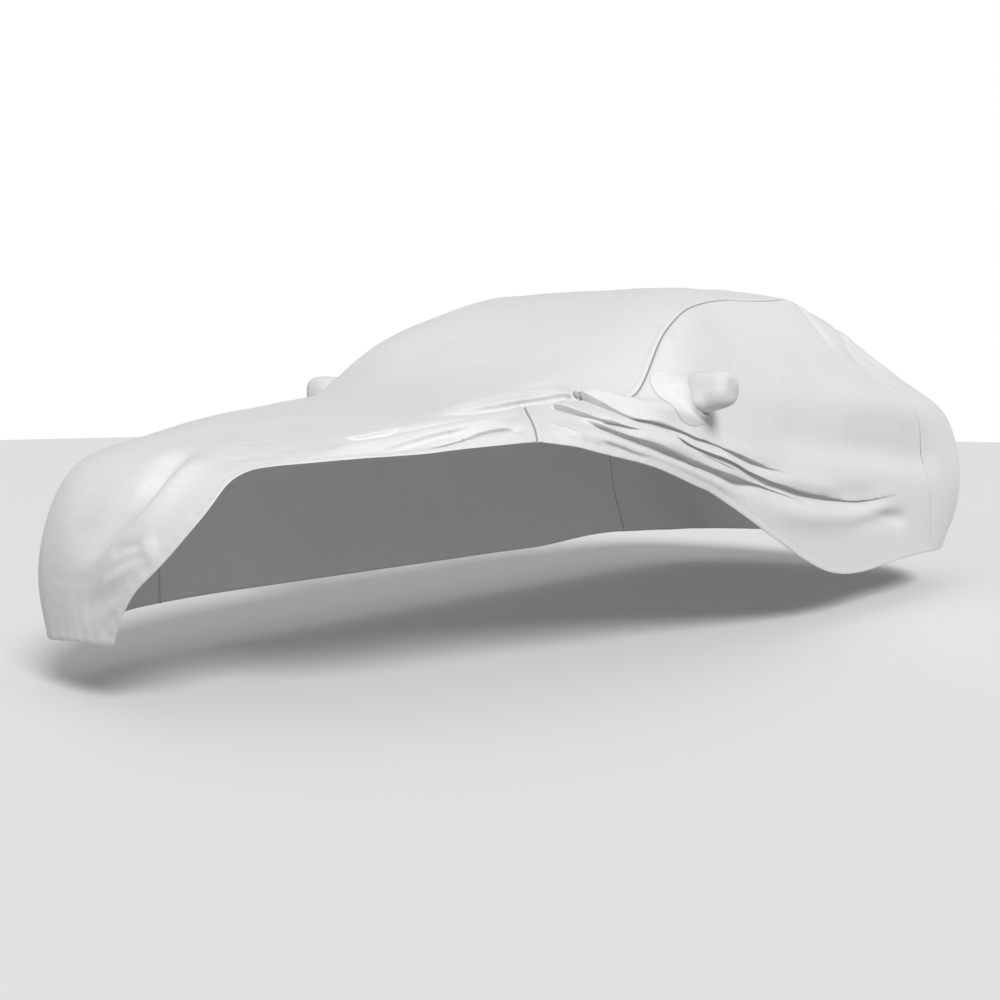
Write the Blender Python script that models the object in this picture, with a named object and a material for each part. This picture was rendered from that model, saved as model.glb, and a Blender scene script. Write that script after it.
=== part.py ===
"""Fitted cover of a large saloon car, pulled up at its front left corner.

The cloth is one draped surface. SECTIONS gives it as cross-sections of the covered shape, from the
front hem to the rear hem, measured from the ground and from the front axle. Panels, seams and hems
are lines on that surface, named by station (0 is the front hem's section, 23 the rear hem's) and
level (0 is the left hem, 5 the crown, 10 the right hem). Folds are ridges and troughs along such
lines. The finished frame has +X towards the nose, +Y to the left, +Z up and its origin under the
roof, where the cover rests.
"""
import bpy
import math
import numpy as np

# Driving dimensions, in metres.
SHEET = 0.002                  # thickness of the cloth
SEAM_GAP = 0.0022              # clear space left between two panels along a seam
EDGE_ANGLE = math.radians(60)  # steeper edges, such as the cloth's rim, are shaded sharp
PATH_STEP = 0.03               # spacing of the points along a fold's line
PROBE = 0.02                   # step in stations and levels that measures a slope
FOLD_REACH = 2.6               # a fold fades out at this many half widths from its line
HEM_HOLD = .045                # the elastic calms the folds within this distance of the lifted hem
HEM_CALM = .85                 # and takes away this share of them at its edge

# Rows and columns of the cloth's grid, block by block.
ROWS = (18, 34, 16)            # nose and bonnet, cabin, boot and tail
COLUMNS = (23, 12, 9)          # left skirt, middle, right skirt

# name, then the points at crown, ridge, rail, belt, side and hem: ahead of the front axle, left of
# the middle, above the ground
SECTIONS = (
    ("front_hem", (.86, 0, .215), (.84, .36, .205), (.785, .61, .18), (.725, .71, .17),
     (.66, .77, .165), (.59, .79, .165)),
    ("bumper", (.895, 0, .45), (.87, .38, .445), (.805, .63, .42), (.735, .74, .385),
     (.63, .825, .30), (.52, .83, .17)),
    ("grille", (.84, 0, .68), (.82, .38, .675), (.745, .635, .655), (.655, .77, .58),
     (.53, .86, .42), (.43, .85, .175)),
    ("bonnet_edge", (.69, 0, .81), (.675, .38, .808), (.61, .66, .785), (.52, .80, .70),
     (.42, .89, .50), (.33, .88, .18)),
    ("bonnet_front", (.42, 0, .885), (.42, .38, .882), (.39, .69, .845), (.34, .83, .765),
     (.28, .92, .56), (.22, .90, .19)),
    ("bonnet_mid", (.15, 0, .945), (.15, .40, .94), (.14, .74, .895), (.12, .87, .80),
     (.10, .945, .60), (.08, .915, .195)),
    ("front_wheel", (-.12, 0, .985), (-.12, .41, .98), (-.12, .76, .93), (-.12, .885, .84),
     (-.12, .95, .62), (-.12, .92, .20)),
    ("bonnet_rear", (-.40, 0, 1.03), (-.40, .42, 1.022), (-.40, .78, .97), (-.40, .90, .88),
     (-.40, .955, .64), (-.40, .93, .20)),
    ("cowl", (-.65, 0, 1.10), (-.65, .43, 1.087), (-.67, .805, 1.01), (-.67, .91, .92),
     (-.67, .96, .66), (-.67, .93, .20)),
    ("screen_low", (-.95, 0, 1.255), (-.95, .44, 1.25), (-.95, .75, 1.205), (-.95, .905, .965),
     (-.95, .96, .66), (-.95, .93, .20)),
    ("screen_mid", (-1.20, 0, 1.385), (-1.20, .43, 1.382), (-1.20, .69, 1.33), (-1.20, .90, .98),
     (-1.20, .96, .66), (-1.20, .93, .20)),
    ("screen_top", (-1.47, 0, 1.468), (-1.47, .42, 1.463), (-1.47, .625, 1.395), (-1.47, .895, .985),
     (-1.47, .96, .66), (-1.47, .93, .20)),
    ("roof_front", (-1.80, 0, 1.497), (-1.80, .40, 1.49), (-1.80, .595, 1.435), (-1.80, .89, .99),
     (-1.80, .96, .66), (-1.80, .93, .20)),
    ("roof_mid", (-2.20, 0, 1.512), (-2.20, .40, 1.503), (-2.20, .59, 1.455), (-2.20, .89, .99),
     (-2.20, .96, .66), (-2.20, .93, .20)),
    ("roof_rear", (-2.56, 0, 1.50), (-2.56, .40, 1.493), (-2.56, .59, 1.44), (-2.58, .89, .985),
     (-2.58, .96, .66), (-2.58, .93, .20)),
    ("pillar_top", (-2.80, 0, 1.465), (-2.80, .48, 1.445), (-2.74, .675, 1.295), (-2.80, .89, .975),
     (-2.80, .96, .66), (-2.80, .935, .21)),
    ("pillar_low", (-3.05, 0, 1.395), (-3.05, .56, 1.355), (-2.94, .745, 1.165), (-3.02, .90, .96),
     (-3.04, .96, .65), (-3.04, .94, .22)),
    ("window_low", (-3.35, 0, 1.285), (-3.35, .56, 1.25), (-3.30, .785, 1.10), (-3.32, .90, .94),
     (-3.33, .965, .64), (-3.33, .94, .22)),
    ("boot_front", (-3.68, 0, 1.165), (-3.68, .53, 1.14), (-3.64, .79, 1.04), (-3.64, .90, .91),
     (-3.62, .96, .62), (-3.55, .92, .21)),
    ("boot_rear", (-4.00, 0, 1.075), (-3.99, .48, 1.06), (-3.94, .76, .98), (-3.90, .875, .84),
     (-3.84, .935, .57), (-3.72, .89, .205)),
    ("tail_edge", (-4.23, 0, .985), (-4.22, .42, .97), (-4.15, .70, .89), (-4.07, .825, .75),
     (-3.97, .895, .48), (-3.84, .85, .20)),
    ("tail", (-4.34, 0, .75), (-4.32, .38, .74), (-4.24, .64, .68), (-4.15, .77, .57),
     (-4.04, .85, .38), (-3.93, .81, .20)),
    ("rear_bumper", (-4.345, 0, .46), (-4.32, .35, .45), (-4.24, .59, .41), (-4.15, .71, .35),
     (-4.06, .79, .27), (-3.99, .77, .20)),
    ("rear_hem", (-4.26, 0, .20), (-4.235, .31, .20), (-4.17, .51, .20), (-4.11, .62, .20),
     (-4.06, .69, .20), (-4.02, .73, .20)),
)
STATION = {section[0]: number for number, section in enumerate(SECTIONS)}
ROOF_CROWN = SECTIONS[STATION["roof_mid"]][1]
ORIGIN = np.array(ROOF_CROWN) - (0, 0, SHEET)

# Lines that bound the panels, as (station, level) points.
WING = 6.46                    # station of the wing seams' upper ends
QUARTER = 15.3                 # station where the rear seams leave the roof rails
LAST = len(SECTIONS) - 1
LEFT_HEM, LEFT_RAIL, RIGHT_RAIL, RIGHT_HEM = 0, 3, 7, 10
FRONT_HEM_LEVELS = (5.51, 6.45, 8.2, RIGHT_HEM)
WING_SEAM = ((5.58, 2.33), (5.78, 2.70), (5.96, 3.00), (6.20, 3.26), (WING, 3.45))
WING_SEAM_FOOT = ((5.0, 0), (5.25, 1.2), (5.58, 2.33), (5.96, 3.00), (WING, 3.45))
REAR_SEAM = ((17.4, 0), (17.04, .65), (16.96, .95), (16.7, 1.7), (16.3, 2.4), (15.8, 2.8),
             (QUARTER, LEFT_RAIL))
LIFTED_HEM_FRONT = ((0, 5.51), (.35, 5.32), (.82, 5.03), (1.15, 4.75), (1.63, 4.45), (2.1, 4.29),
                    (2.5, 4.25), (2.73, 4.17), (2.87, 4.00), (2.99, 3.72), (3.16, 3.42), (3.67, 2.95),
                    (4.96, 2.48), (5.58, 2.33))
LIFTED_HEM_SIDE = ((5.58, 2.33), (6.04, 2.05), (6.46, 1.80), (6.88, 1.62), (7.38, 1.45), (7.92, 1.28),
                   (8.54, 1.10), (9.21, .96), (10.7, .64), (12.0, .30), (12.9, .07), (13.8, 0),
                   (17.4, 0))
NOSE_FOLD_LINE = ((0, 6.45), (.6, 5.95), (1.2, 5.60), (1.8, 5.35), (2.5, 5.10), (3.0, 4.75), (3.6, 4.30),
                  (4.6, 3.90), (5.6, 3.65), (WING, 3.45))
PILLAR_SEAM = ((WING, 3.45), (6.75, 3.30), (7.15, 3.36), (7.50, 3.40), (7.72, 3.22), (7.95, 3.02),
               (8.2, 3.0), (10.0, 3.0), (QUARTER, LEFT_RAIL))
RIGHT_BONNET_LINE = ((0, 8.2), (1, 7.95), (2, 7.60), (3, 7.25), (4, 6.95), (5.3, 6.70), (WING, 6.55))
RIGHT_PILLAR_SEAM = ((WING, 6.55), (7.2, 6.80), (8.04, 7.0), (10.0, 7.0), (QUARTER, RIGHT_RAIL))

# name, rise (troughs are negative), lean to the left of the line, half width, fade-in and fade-out
# lengths, line
FOLDS = (
    ("nose_trough", -.030, 0, .055, .10, .25,
     ((3.3, 5.05), (2.96, 5.18), (2.54, 5.10), (2.17, 5.12), (1.83, 5.28), (1.58, 5.48), (1.17, 5.93))),
    ("nose_ridge", .022, 0, .060, .15, .25,
     ((3.1, 4.75), (2.6, 4.85), (2.1, 4.88), (1.6, 5.15), (1.1, 5.55), (.7, 5.95))),
    ("nose_fan_high", .014, 0, .035, .08, .12, ((1.55, 4.75), (1.25, 4.95), (.95, 5.30), (.7, 5.75))),
    ("nose_fan_low", -.014, 0, .030, .06, .12, ((1.25, 4.80), (.95, 5.15), (.62, 5.60), (.30, 5.95))),
    ("bonnet_roll", .022, 0, .050, .20, .10,
     ((3.1, 3.75), (3.6, 3.45), (4.3, 3.30), (5.0, 3.20), (5.7, 3.08))),
    ("bonnet_trough", -.020, 0, .035, .20, .10,
     ((3.46, 3.62), (4.12, 3.55), (4.88, 3.42), (5.40, 3.32), (6.0, 3.28))),
    ("bonnet_hem_roll", .018, 0, .040, .15, .05,
     ((3.8, 2.88), (4.3, 2.76), (4.9, 2.68), (5.5, 2.62))),
    ("bonnet_hem_trough", -.016, 0, .028, .15, .05,
     ((3.75, 3.06), (4.25, 2.98), (4.83, 2.95), (5.21, 2.93), (5.71, 2.85))),
    ("cowl_ridge", .026, 0, .045, .25, .03,
     ((5.0, 3.72), (5.92, 3.70), (6.58, 3.70), (7.21, 3.60), (7.58, 3.50))),
    ("cowl_trough", -.016, 0, .050, .30, .06,
     ((5.6, 3.98), (6.3, 3.98), (7.0, 3.92), (7.6, 3.82), (7.9, 3.60))),
    ("lip", .030, -.012, .030, .02, .12,
     ((7.55, 3.46), (7.66, 3.20), (7.80, 2.88), (7.98, 2.50), (8.3, 2.18), (8.75, 1.92), (9.4, 1.70))),
    ("trough_high", -.022, 0, .022, .03, .40,
     ((7.50, 3.40), (7.46, 2.90), (7.58, 2.55), (7.79, 2.23), (8.00, 2.00), (8.42, 1.78), (8.92, 1.62),
      (9.50, 1.53), (9.96, 1.40), (10.92, 1.23), (11.83, 1.07))),
    ("roll_high", .034, -.012, .038, .03, .50,
     ((6.75, 3.22), (7.10, 2.92), (7.25, 2.60), (7.50, 2.30), (7.85, 1.98), (8.42, 1.68), (9.3, 1.48),
      (10.4, 1.24), (11.4, 1.06), (12.4, .93), (13.5, .84))),
    ("trough_mid", -.024, 0, .022, .03, .30,
     ((6.67, 3.20), (6.75, 2.98), (6.92, 2.68), (7.00, 2.43), (7.29, 2.15), (7.58, 1.93), (7.92, 1.76),
      (8.54, 1.57), (9.2, 1.40), (10.1, 1.21))),
    ("roll_mid", .036, -.012, .034, .04, .35,
     ((6.66, 2.98), (6.82, 2.55), (7.02, 2.20), (7.38, 1.98), (7.75, 1.78), (8.3, 1.58), (8.9, 1.44),
      (9.7, 1.27), (10.6, 1.12))),
    ("trough_low", -.026, 0, .026, .10, .25,
     ((6.71, 2.60), (6.88, 2.27), (7.08, 2.00), (7.33, 1.83), (7.62, 1.67), (8.00, 1.52), (8.38, 1.42),
      (8.79, 1.33), (9.29, 1.22), (10.1, 1.05), (10.9, .97))),
    ("hem_roll", .026, -.006, .040, .12, .30,
     ((5.95, 2.55), (6.4, 2.15), (6.8, 1.90), (7.3, 1.66), (7.9, 1.45), (8.6, 1.26), (9.4, 1.08),
      (10.3, .90))),
    ("side_trough", -.030, 0, .050, .50, .35,
     ((9.54, 1.36), (10.50, 1.16), (11.46, .99), (12.38, .87), (13.17, .79), (14.25, .74),
      (15.0, .74))),
    ("side_roll", .022, 0, .060, .50, .40,
     ((10.2, .90), (11.3, .76), (12.4, .66), (13.4, .62), (14.6, .62), (15.8, .62))),
    ("quarter_trough", -.018, 0, .045, .30, .20, ((13.2, .52), (14.6, .50), (16.17, .43))),
    ("pillar_trough", -.028, 0, .030, .10, .30,
     ((13.85, 2.80), (13.95, 2.60), (14.10, 2.50), (14.4, 2.46), (14.83, 2.50), (15.4, 2.55))),
    ("pillar_ridge", .020, 0, .035, .10, .30, ((14.3, 2.95), (14.7, 2.80), (15.2, 2.74), (15.9, 2.75))),
    ("window_trough", -.022, 0, .028, .08, .20,
     ((15.45, 3.75), (15.94, 3.62), (16.4, 3.52), (16.8, 3.34), (17.1, 3.15))),
    ("window_ridge", .014, 0, .030, .08, .20,
     ((15.6, 3.36), (16.0, 3.26), (16.5, 3.12), (17.0, 2.95))),
    ("door_trough", -.034, 0, .105, .60, .45,
     ((10.2, 1.66), (12.0, 1.61), (13.7, 1.58), (16.1, 1.50), (17.8, 1.44))),
)

# Mirror pocket, measured as the sections are. Its mouth is an oval in the side panel.
MOUTH_X = -.893
MOUTH_Z = 1.005
MOUTH_HALF_X = .138
MOUTH_HALF_Z = .105
MOUTH_CLEARANCE = .0015
MOUTH_SPAN = (.60, 1.15)       # how far out the prism that cuts the mouth begins and ends
POCKET_STEPS = 24
# stand-off from the side, how upright, outward place, centre x, centre z, half x, half z, squareness
POCKET_RINGS = (
    (.000, 0.0, 0.00, MOUTH_X, MOUTH_Z, MOUTH_HALF_X, MOUTH_HALF_Z, 2.0),
    (.002, 0.0, 0.00, -.910, 1.007, .112, .092, 2.1),
    (.012, 0.1, 0.90, -.930, 1.011, .082, .082, 2.3),
    (.050, 0.4, 0.93, -.936, 1.020, .070, .079, 2.5),
    (.000, 1.0, 0.972, -.938, 1.029, .074, .076, 2.7),
    (.000, 1.0, 1.016, -.942, 1.035, .074, .069, 2.7),
    (.000, 1.0, 1.046, -.945, 1.038, .065, .058, 2.6),
    (.000, 1.0, 1.061, -.946, 1.039, .043, .038, 2.4),
)
POCKET_END = (-.946, 1.066, 1.039)

CLOTH_COLOUR = (.80, .80, .81, 1)
CLOTH_ROUGHNESS = .55


def section_net():
    """All section points, from the left hem over the crown to the right hem."""
    rows = []
    for _, *half in SECTIONS:
        left = half[::-1]
        right = [(x, -y, z) for x, y, z in half[1:]]
        rows.append(left + right)
    return np.array(rows, float)


NET = section_net()
STATION_PLACES = np.concatenate(([0], np.cumsum(np.linalg.norm(np.diff(NET, axis=0), axis=2).mean(1))))
LEVEL_PLACES = np.concatenate(([0], np.cumsum(np.linalg.norm(np.diff(NET, axis=1), axis=2).mean(0))))


def natural_weights(knots, at):
    """Weights of the knots' values for a natural cubic curve at the given places."""
    count = len(knots)
    step = np.diff(knots)
    bend = np.eye(count)
    jump = np.zeros((count, count))
    for k in range(1, count - 1):
        bend[k, k - 1:k + 2] = step[k - 1], 2 * (step[k - 1] + step[k]), step[k]
        jump[k, k - 1:k + 2] = 6 / step[k - 1], -6 / step[k - 1] - 6 / step[k], 6 / step[k]
    curvature = np.linalg.solve(bend, jump)
    k = np.clip(np.searchsorted(knots, at, side="right") - 1, 0, count - 2)
    width = step[k]
    a = (knots[k + 1] - at) / width
    b = 1 - a
    weights = np.zeros((len(at), count))
    rows = np.arange(len(at))
    weights[rows, k] += a
    weights[rows, k + 1] += b
    square = (width ** 2 / 6)[:, None]
    weights += (a ** 3 - a)[:, None] * square * curvature[k]
    weights += (b ** 3 - b)[:, None] * square * curvature[k + 1]
    return weights


def even_slope(before, after):
    """Slope between two spans that never overshoots: zero at a turn, else the harmonic mean."""
    same = before * after > 0
    total = np.where(same, before + after, 1)
    return np.where(same, 2 * before * after / total, 0)


def smooth_surface(station, level):
    """Points of the unfolded cloth at flat arrays of stations and levels."""
    along = np.interp(station, np.arange(len(STATION_PLACES)), STATION_PLACES)
    over = np.interp(level, np.arange(len(LEVEL_PLACES)), LEVEL_PLACES)
    ribs = np.tensordot(natural_weights(STATION_PLACES, along), NET, 1)
    k = np.clip(np.searchsorted(LEVEL_PLACES, over, side="right") - 1, 0, len(LEVEL_PLACES) - 2)
    near = np.clip(k[:, None] + np.arange(-1, 3), 0, len(LEVEL_PLACES) - 1)
    points = ribs[np.arange(len(k))[:, None], near]
    spans = np.diff(LEVEL_PLACES[near], axis=1)[..., None]
    slopes = np.diff(points, axis=1) / np.where(spans > 0, spans, 1)
    middle = slopes[:, 1]
    first = np.where(spans[:, 0] > 0, even_slope(slopes[:, 0], middle), middle)
    last = np.where(spans[:, 2] > 0, even_slope(middle, slopes[:, 2]), middle)
    width = spans[:, 1]
    t = ((over - LEVEL_PLACES[k]) / width[:, 0])[:, None]
    start = points[:, 1] * (1 + 2 * t) + first * width * t
    end = points[:, 2] * (3 - 2 * t) - last * width * (1 - t)
    return start * (1 - t) ** 2 + end * t ** 2


def unit(vectors):
    return vectors / np.linalg.norm(vectors, axis=-1, keepdims=True)


def outward(surface, station, level):
    """Unit normals, pointing out of the cover, of a surface function."""
    forward = surface(np.minimum(station + PROBE, LAST), level)
    backward = surface(np.maximum(station - PROBE, 0), level)
    rightward = surface(station, np.minimum(level + PROBE, RIGHT_HEM))
    leftward = surface(station, np.maximum(level - PROBE, LEFT_HEM))
    return unit(np.cross(forward - backward, leftward - rightward)) * -1


def line_places(line, step):
    """(station, level) places at even steps along the natural curve through a line's points."""
    line = np.array(line, float)
    corners = smooth_surface(line[:, 0], line[:, 1])
    knots = np.concatenate(([0], np.cumsum(np.linalg.norm(np.diff(corners, axis=0), axis=1))))
    count = max(3, int(knots[-1] / step) + 1)
    return natural_weights(knots, np.linspace(0, knots[-1], count)) @ line


def measured(places):
    """Points of the unfolded cloth at places along a line, and the run of cloth up to each."""
    points = smooth_surface(places[:, 0], places[:, 1])
    return points, np.concatenate(([0], np.cumsum(np.linalg.norm(np.diff(points, axis=0), axis=1))))


def nearest_on(path, run, points):
    """Distance from each point to a path, the run along it there, and its direction there."""
    step = path[1:] - path[:-1]
    to_points = points[:, None] - path[:-1]
    t = np.clip((to_points * step).sum(2) / (step ** 2).sum(1), 0, 1)
    away = np.linalg.norm(to_points - t[..., None] * step, axis=2)
    nearest = away.argmin(1)
    rows = np.arange(len(nearest))
    length = run[nearest] + t[rows, nearest] * np.diff(run)[nearest]
    return away[rows, nearest], length, unit(step)[nearest]


def ease(x):
    x = np.clip(x, 0, 1)
    return x * x * (3 - 2 * x)


def fold_shift(points, normals, fold):
    """How far and which way one fold moves each point of the cloth."""
    _, rise, lean, half_width, fade_in, fade_out, line = fold
    path, run = measured(line_places(line, PATH_STEP))
    shift = np.zeros(points.shape)
    reach = half_width * FOLD_REACH
    near = np.all((points > path.min(0) - reach) & (points < path.max(0) + reach), axis=1)
    if not near.any():
        return shift
    distance, length, heading = nearest_on(path, run, points[near])
    fade = ease(length / fade_in) * ease((run[-1] - length) / fade_out)
    profile = np.exp(-(distance / half_width) ** 2) * ease(3 * (1 - distance / reach))
    leftward = np.cross(normals[near], heading)
    shift[near] = (rise * normals[near] + lean * leftward) * (fade * profile)[:, None]
    return shift


def draped(station, level):
    """Points of the folded cloth at flat arrays of stations and levels."""
    points = smooth_surface(station, level)
    normals = outward(smooth_surface, station, level)
    shift = sum(fold_shift(points, normals, fold) for fold in FOLDS)
    calm = np.ones(len(points))
    for hem in (LIFTED_HEM_FRONT, LIFTED_HEM_SIDE):
        distance, _, _ = nearest_on(*measured(line_places(hem, PATH_STEP)), points)
        calm *= 1 - HEM_CALM * np.exp(-(distance / HEM_HOLD) ** 2)
    return points + shift * calm[:, None]


def spaced(line, count):
    """A line's (station, level) places at equal steps along the cloth."""
    places = line_places(line, PATH_STEP / 2)
    _, run = measured(places)
    even = np.linspace(0, run[-1], count + 1)
    return np.stack([np.interp(even, run, places[:, axis]) for axis in (0, 1)], 1)


def block(front, back, left, right):
    """Grid of (station, level) places blended between four sides of equal-step places."""
    r = np.linspace(0, 1, len(left))[:, None, None]
    c = np.linspace(0, 1, len(front))[None, :, None]
    sides = (1 - c) * left[:, None] + c * right[:, None] + (1 - r) * front[None] + r * back[None]
    corners = ((1 - r) * ((1 - c) * front[0] + c * front[-1]) + r * ((1 - c) * back[0] + c * back[-1]))
    return sides - corners


def mirrored(line):
    return tuple((station, RIGHT_HEM - level) for station, level in line)


def cloth_grid():
    """(station, level) places of every grid point, the seams lying on grid lines."""
    hem = FRONT_HEM_LEVELS
    cross = (
        [((0, hem[0]), (0, hem[1])), ((0, hem[1]), (0, hem[2])), ((0, hem[2]), (0, hem[3]))],
        [WING_SEAM, (WING_SEAM[-1], (WING, RIGHT_HEM - WING_SEAM[-1][1])), mirrored(WING_SEAM_FOOT)[::-1]],
        [REAR_SEAM, ((QUARTER, LEFT_RAIL), (QUARTER, RIGHT_RAIL)), mirrored(REAR_SEAM)[::-1]],
        [((LAST, 0), (LAST, LEFT_RAIL)), ((LAST, LEFT_RAIL), (LAST, RIGHT_RAIL)),
         ((LAST, RIGHT_RAIL), (LAST, RIGHT_HEM))],
    )
    foot, heel = WING_SEAM_FOOT[0][0], REAR_SEAM[0][0]
    down = (
        [LIFTED_HEM_FRONT, LIFTED_HEM_SIDE, ((heel, 0), (LAST, 0))],
        [NOSE_FOLD_LINE, PILLAR_SEAM, ((QUARTER, LEFT_RAIL), (LAST, LEFT_RAIL))],
        [RIGHT_BONNET_LINE, RIGHT_PILLAR_SEAM, ((QUARTER, RIGHT_RAIL), (LAST, RIGHT_RAIL))],
        [((0, RIGHT_HEM), (foot, RIGHT_HEM)), ((foot, RIGHT_HEM), (heel, RIGHT_HEM)),
         ((heel, RIGHT_HEM), (LAST, RIGHT_HEM))],
    )
    cross = [[spaced(line, COLUMNS[b]) for b, line in enumerate(lines)] for lines in cross]
    down = [[spaced(line, ROWS[a]) for a, line in enumerate(lines)] for lines in down]
    bands = []
    for a in range(len(ROWS)):
        parts = [block(cross[a][b], cross[a + 1][b], down[b][a], down[b + 1][a])
                 for b in range(len(COLUMNS))]
        joined = np.concatenate([part[:, (1 if b else 0):] for b, part in enumerate(parts)], 1)
        bands.append(joined[(1 if a else 0):])
    return np.concatenate(bands)


def grid_normals(points):
    """Unit normals of a grid of points, pointing out of the cover."""
    down = np.gradient(points, axis=0)
    over = np.gradient(points, axis=1)
    return unit(np.cross(down, over))


def panel_shell(points, normals, cells):
    """Vertices and faces of the closed shell that covers the marked grid cells."""
    centres = (points[:-1, :-1] + points[1:, :-1] + points[:-1, 1:] + points[1:, 1:]) / 4
    weight = np.zeros(points.shape[:2])
    pull = np.zeros(points.shape)
    for di in (0, 1):
        for dj in (0, 1):
            window = (slice(di, di + cells.shape[0]), slice(dj, dj + cells.shape[1]))
            weight[window] += cells
            pull[window] += centres * cells[..., None]
    edge = (weight > 0) & (weight < 4)
    inward = pull[edge] / weight[edge][:, None] - points[edge]
    outer = points.copy()
    outer[edge] += unit(inward) * SEAM_GAP / 2
    number = -np.ones(weight.shape, int)
    used = weight > 0
    number[used] = np.arange(used.sum())
    count = int(used.sum())
    vertices = np.concatenate((outer[used], outer[used] - normals[used] * SHEET))
    faces = []
    sides = {}
    for i, j in zip(*np.nonzero(cells)):
        corners = [(i, j), (i + 1, j), (i + 1, j + 1), (i, j + 1)]
        a, b, c, d = (int(number[corner]) for corner in corners)
        p, q, r, s = (outer[corner] for corner in corners)
        if np.linalg.norm(p - r) <= np.linalg.norm(q - s):
            triangles = ((a, b, c), (a, c, d))
        else:
            triangles = ((a, b, d), (b, c, d))
        for one, two, three in triangles:
            faces.append((one, two, three))
            faces.append((three + count, two + count, one + count))
        for one, two in ((a, b), (b, c), (c, d), (d, a)):
            sides[one, two] = True
    for one, two in sides:
        if (two, one) not in sides:
            faces.append((two, one, one + count))
            faces.append((two, one + count, two + count))
    return vertices, faces


def side_place(x, z, left):
    """Station and level of the side's points at the given x and z, by repeated correction."""
    station = np.full(len(x), float(STATION["screen_low"]))
    level = np.full(len(x), 2.2)
    for _ in range(12):
        here = smooth_surface(station, level)
        by_station = (smooth_surface(station + PROBE, level) - here) / PROBE
        by_level = (smooth_surface(station, level + PROBE) - here) / PROBE
        dx, dz = x - here[:, 0], z - here[:, 2]
        scale = by_station[:, 0] * by_level[:, 2] - by_station[:, 2] * by_level[:, 0]
        station = station + (dx * by_level[:, 2] - dz * by_level[:, 0]) / scale
        level = level + (dz * by_station[:, 0] - dx * by_station[:, 2]) / scale
    return station, (level if left else RIGHT_HEM - level)


def oval(count, half_x, half_z, squareness):
    """Offsets in x and z around a rounded rectangle."""
    turn = np.arange(count) * math.tau / count
    power = 2 / squareness
    x = half_x * np.sign(np.cos(turn)) * np.abs(np.cos(turn)) ** power
    z = half_z * np.sign(np.sin(turn)) * np.abs(np.sin(turn)) ** power
    return x, z


def pocket_shell(left):
    """Vertices and faces of a mirror pocket: rings out from its mouth, closed at the end."""
    sign = 1 if left else -1
    rings = []
    for stand_off, upright, place, centre_x, centre_z, half_x, half_z, squareness in POCKET_RINGS:
        if not rings:
            half_x, half_z = half_x - MOUTH_CLEARANCE, half_z - MOUTH_CLEARANCE
        x, z = oval(POCKET_STEPS, half_x, half_z, squareness)
        x, z = x + centre_x, z + centre_z
        side_y = draped(*side_place(x, z, left))[:, 1] * sign
        y = (side_y + stand_off) * (1 - upright) + place * upright
        rings.append(np.stack((x, y * sign, z), 1))
    rings = np.array(rings)
    around = np.roll(rings, -1, 1) - np.roll(rings, 1, 1)
    normals = unit(np.cross(np.gradient(rings, axis=0), around)) * sign
    end = np.array(POCKET_END) * (1, sign, 1)
    outer = np.concatenate((rings.reshape(-1, 3), [end]))
    inner = np.concatenate(((rings - normals * SHEET).reshape(-1, 3), [end - (0, sign * SHEET, 0)]))
    faces = []
    count, steps, tip = len(outer), POCKET_STEPS, len(outer) - 1
    for k in range(len(rings) - 1):
        for s in range(steps):
            a, b = k * steps + s, k * steps + (s + 1) % steps
            c, d = b + steps, a + steps
            faces += [(a, b, c), (a, c, d), (c + count, b + count, a + count),
                      (d + count, c + count, a + count)]
    for s in range(steps):
        a, b = (len(rings) - 1) * steps + s, (len(rings) - 1) * steps + (s + 1) % steps
        faces += [(a, b, tip), (tip + count, b + count, a + count)]
        faces += [((s + 1) % steps, s, s + count), ((s + 1) % steps, s + count, (s + 1) % steps + count)]
    if left:
        faces = [face[::-1] for face in faces]
    return np.concatenate((outer, inner)), faces


def add_piece(name, vertices, faces, colour):
    """One named object with its own cloth material."""
    mesh = bpy.data.meshes.new(name)
    mesh.from_pydata([tuple(v) for v in vertices - ORIGIN], [], faces)
    mesh.update()
    mesh.shade_smooth()
    mesh.set_sharp_from_angle(angle=EDGE_ANGLE)
    piece = bpy.data.objects.new(name, mesh)
    bpy.context.scene.collection.objects.link(piece)
    material = bpy.data.materials.new(name + "_cloth")
    material.use_nodes = True
    shader = material.node_tree.nodes["Principled BSDF"]
    shader.inputs["Base Color"].default_value = colour
    shader.inputs["Roughness"].default_value = CLOTH_ROUGHNESS
    mesh.materials.append(material)
    return piece


def mouth_cutter(name, left):
    """Oval prism through the side panel that opens it into the mirror pocket."""
    sign = 1 if left else -1
    x, z = oval(POCKET_STEPS, MOUTH_HALF_X, MOUTH_HALF_Z, 2.0)
    near, far = MOUTH_SPAN
    rings = [np.stack((x + MOUTH_X, np.full(POCKET_STEPS, sign * y), z + MOUTH_Z), 1)
             for y in (near, far)]
    ids = list(range(POCKET_STEPS))
    faces = [tuple(ids), tuple(i + POCKET_STEPS for i in ids[::-1])]
    for i in ids:
        j = (i + 1) % POCKET_STEPS
        faces.append((j, i, i + POCKET_STEPS, j + POCKET_STEPS))
    if not left:
        faces = [face[::-1] for face in faces]
    cutter = add_piece(name, np.concatenate(rings), faces, CLOTH_COLOUR)
    cutter.hide_render = True
    cutter.display_type = "WIRE"
    return cutter


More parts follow.
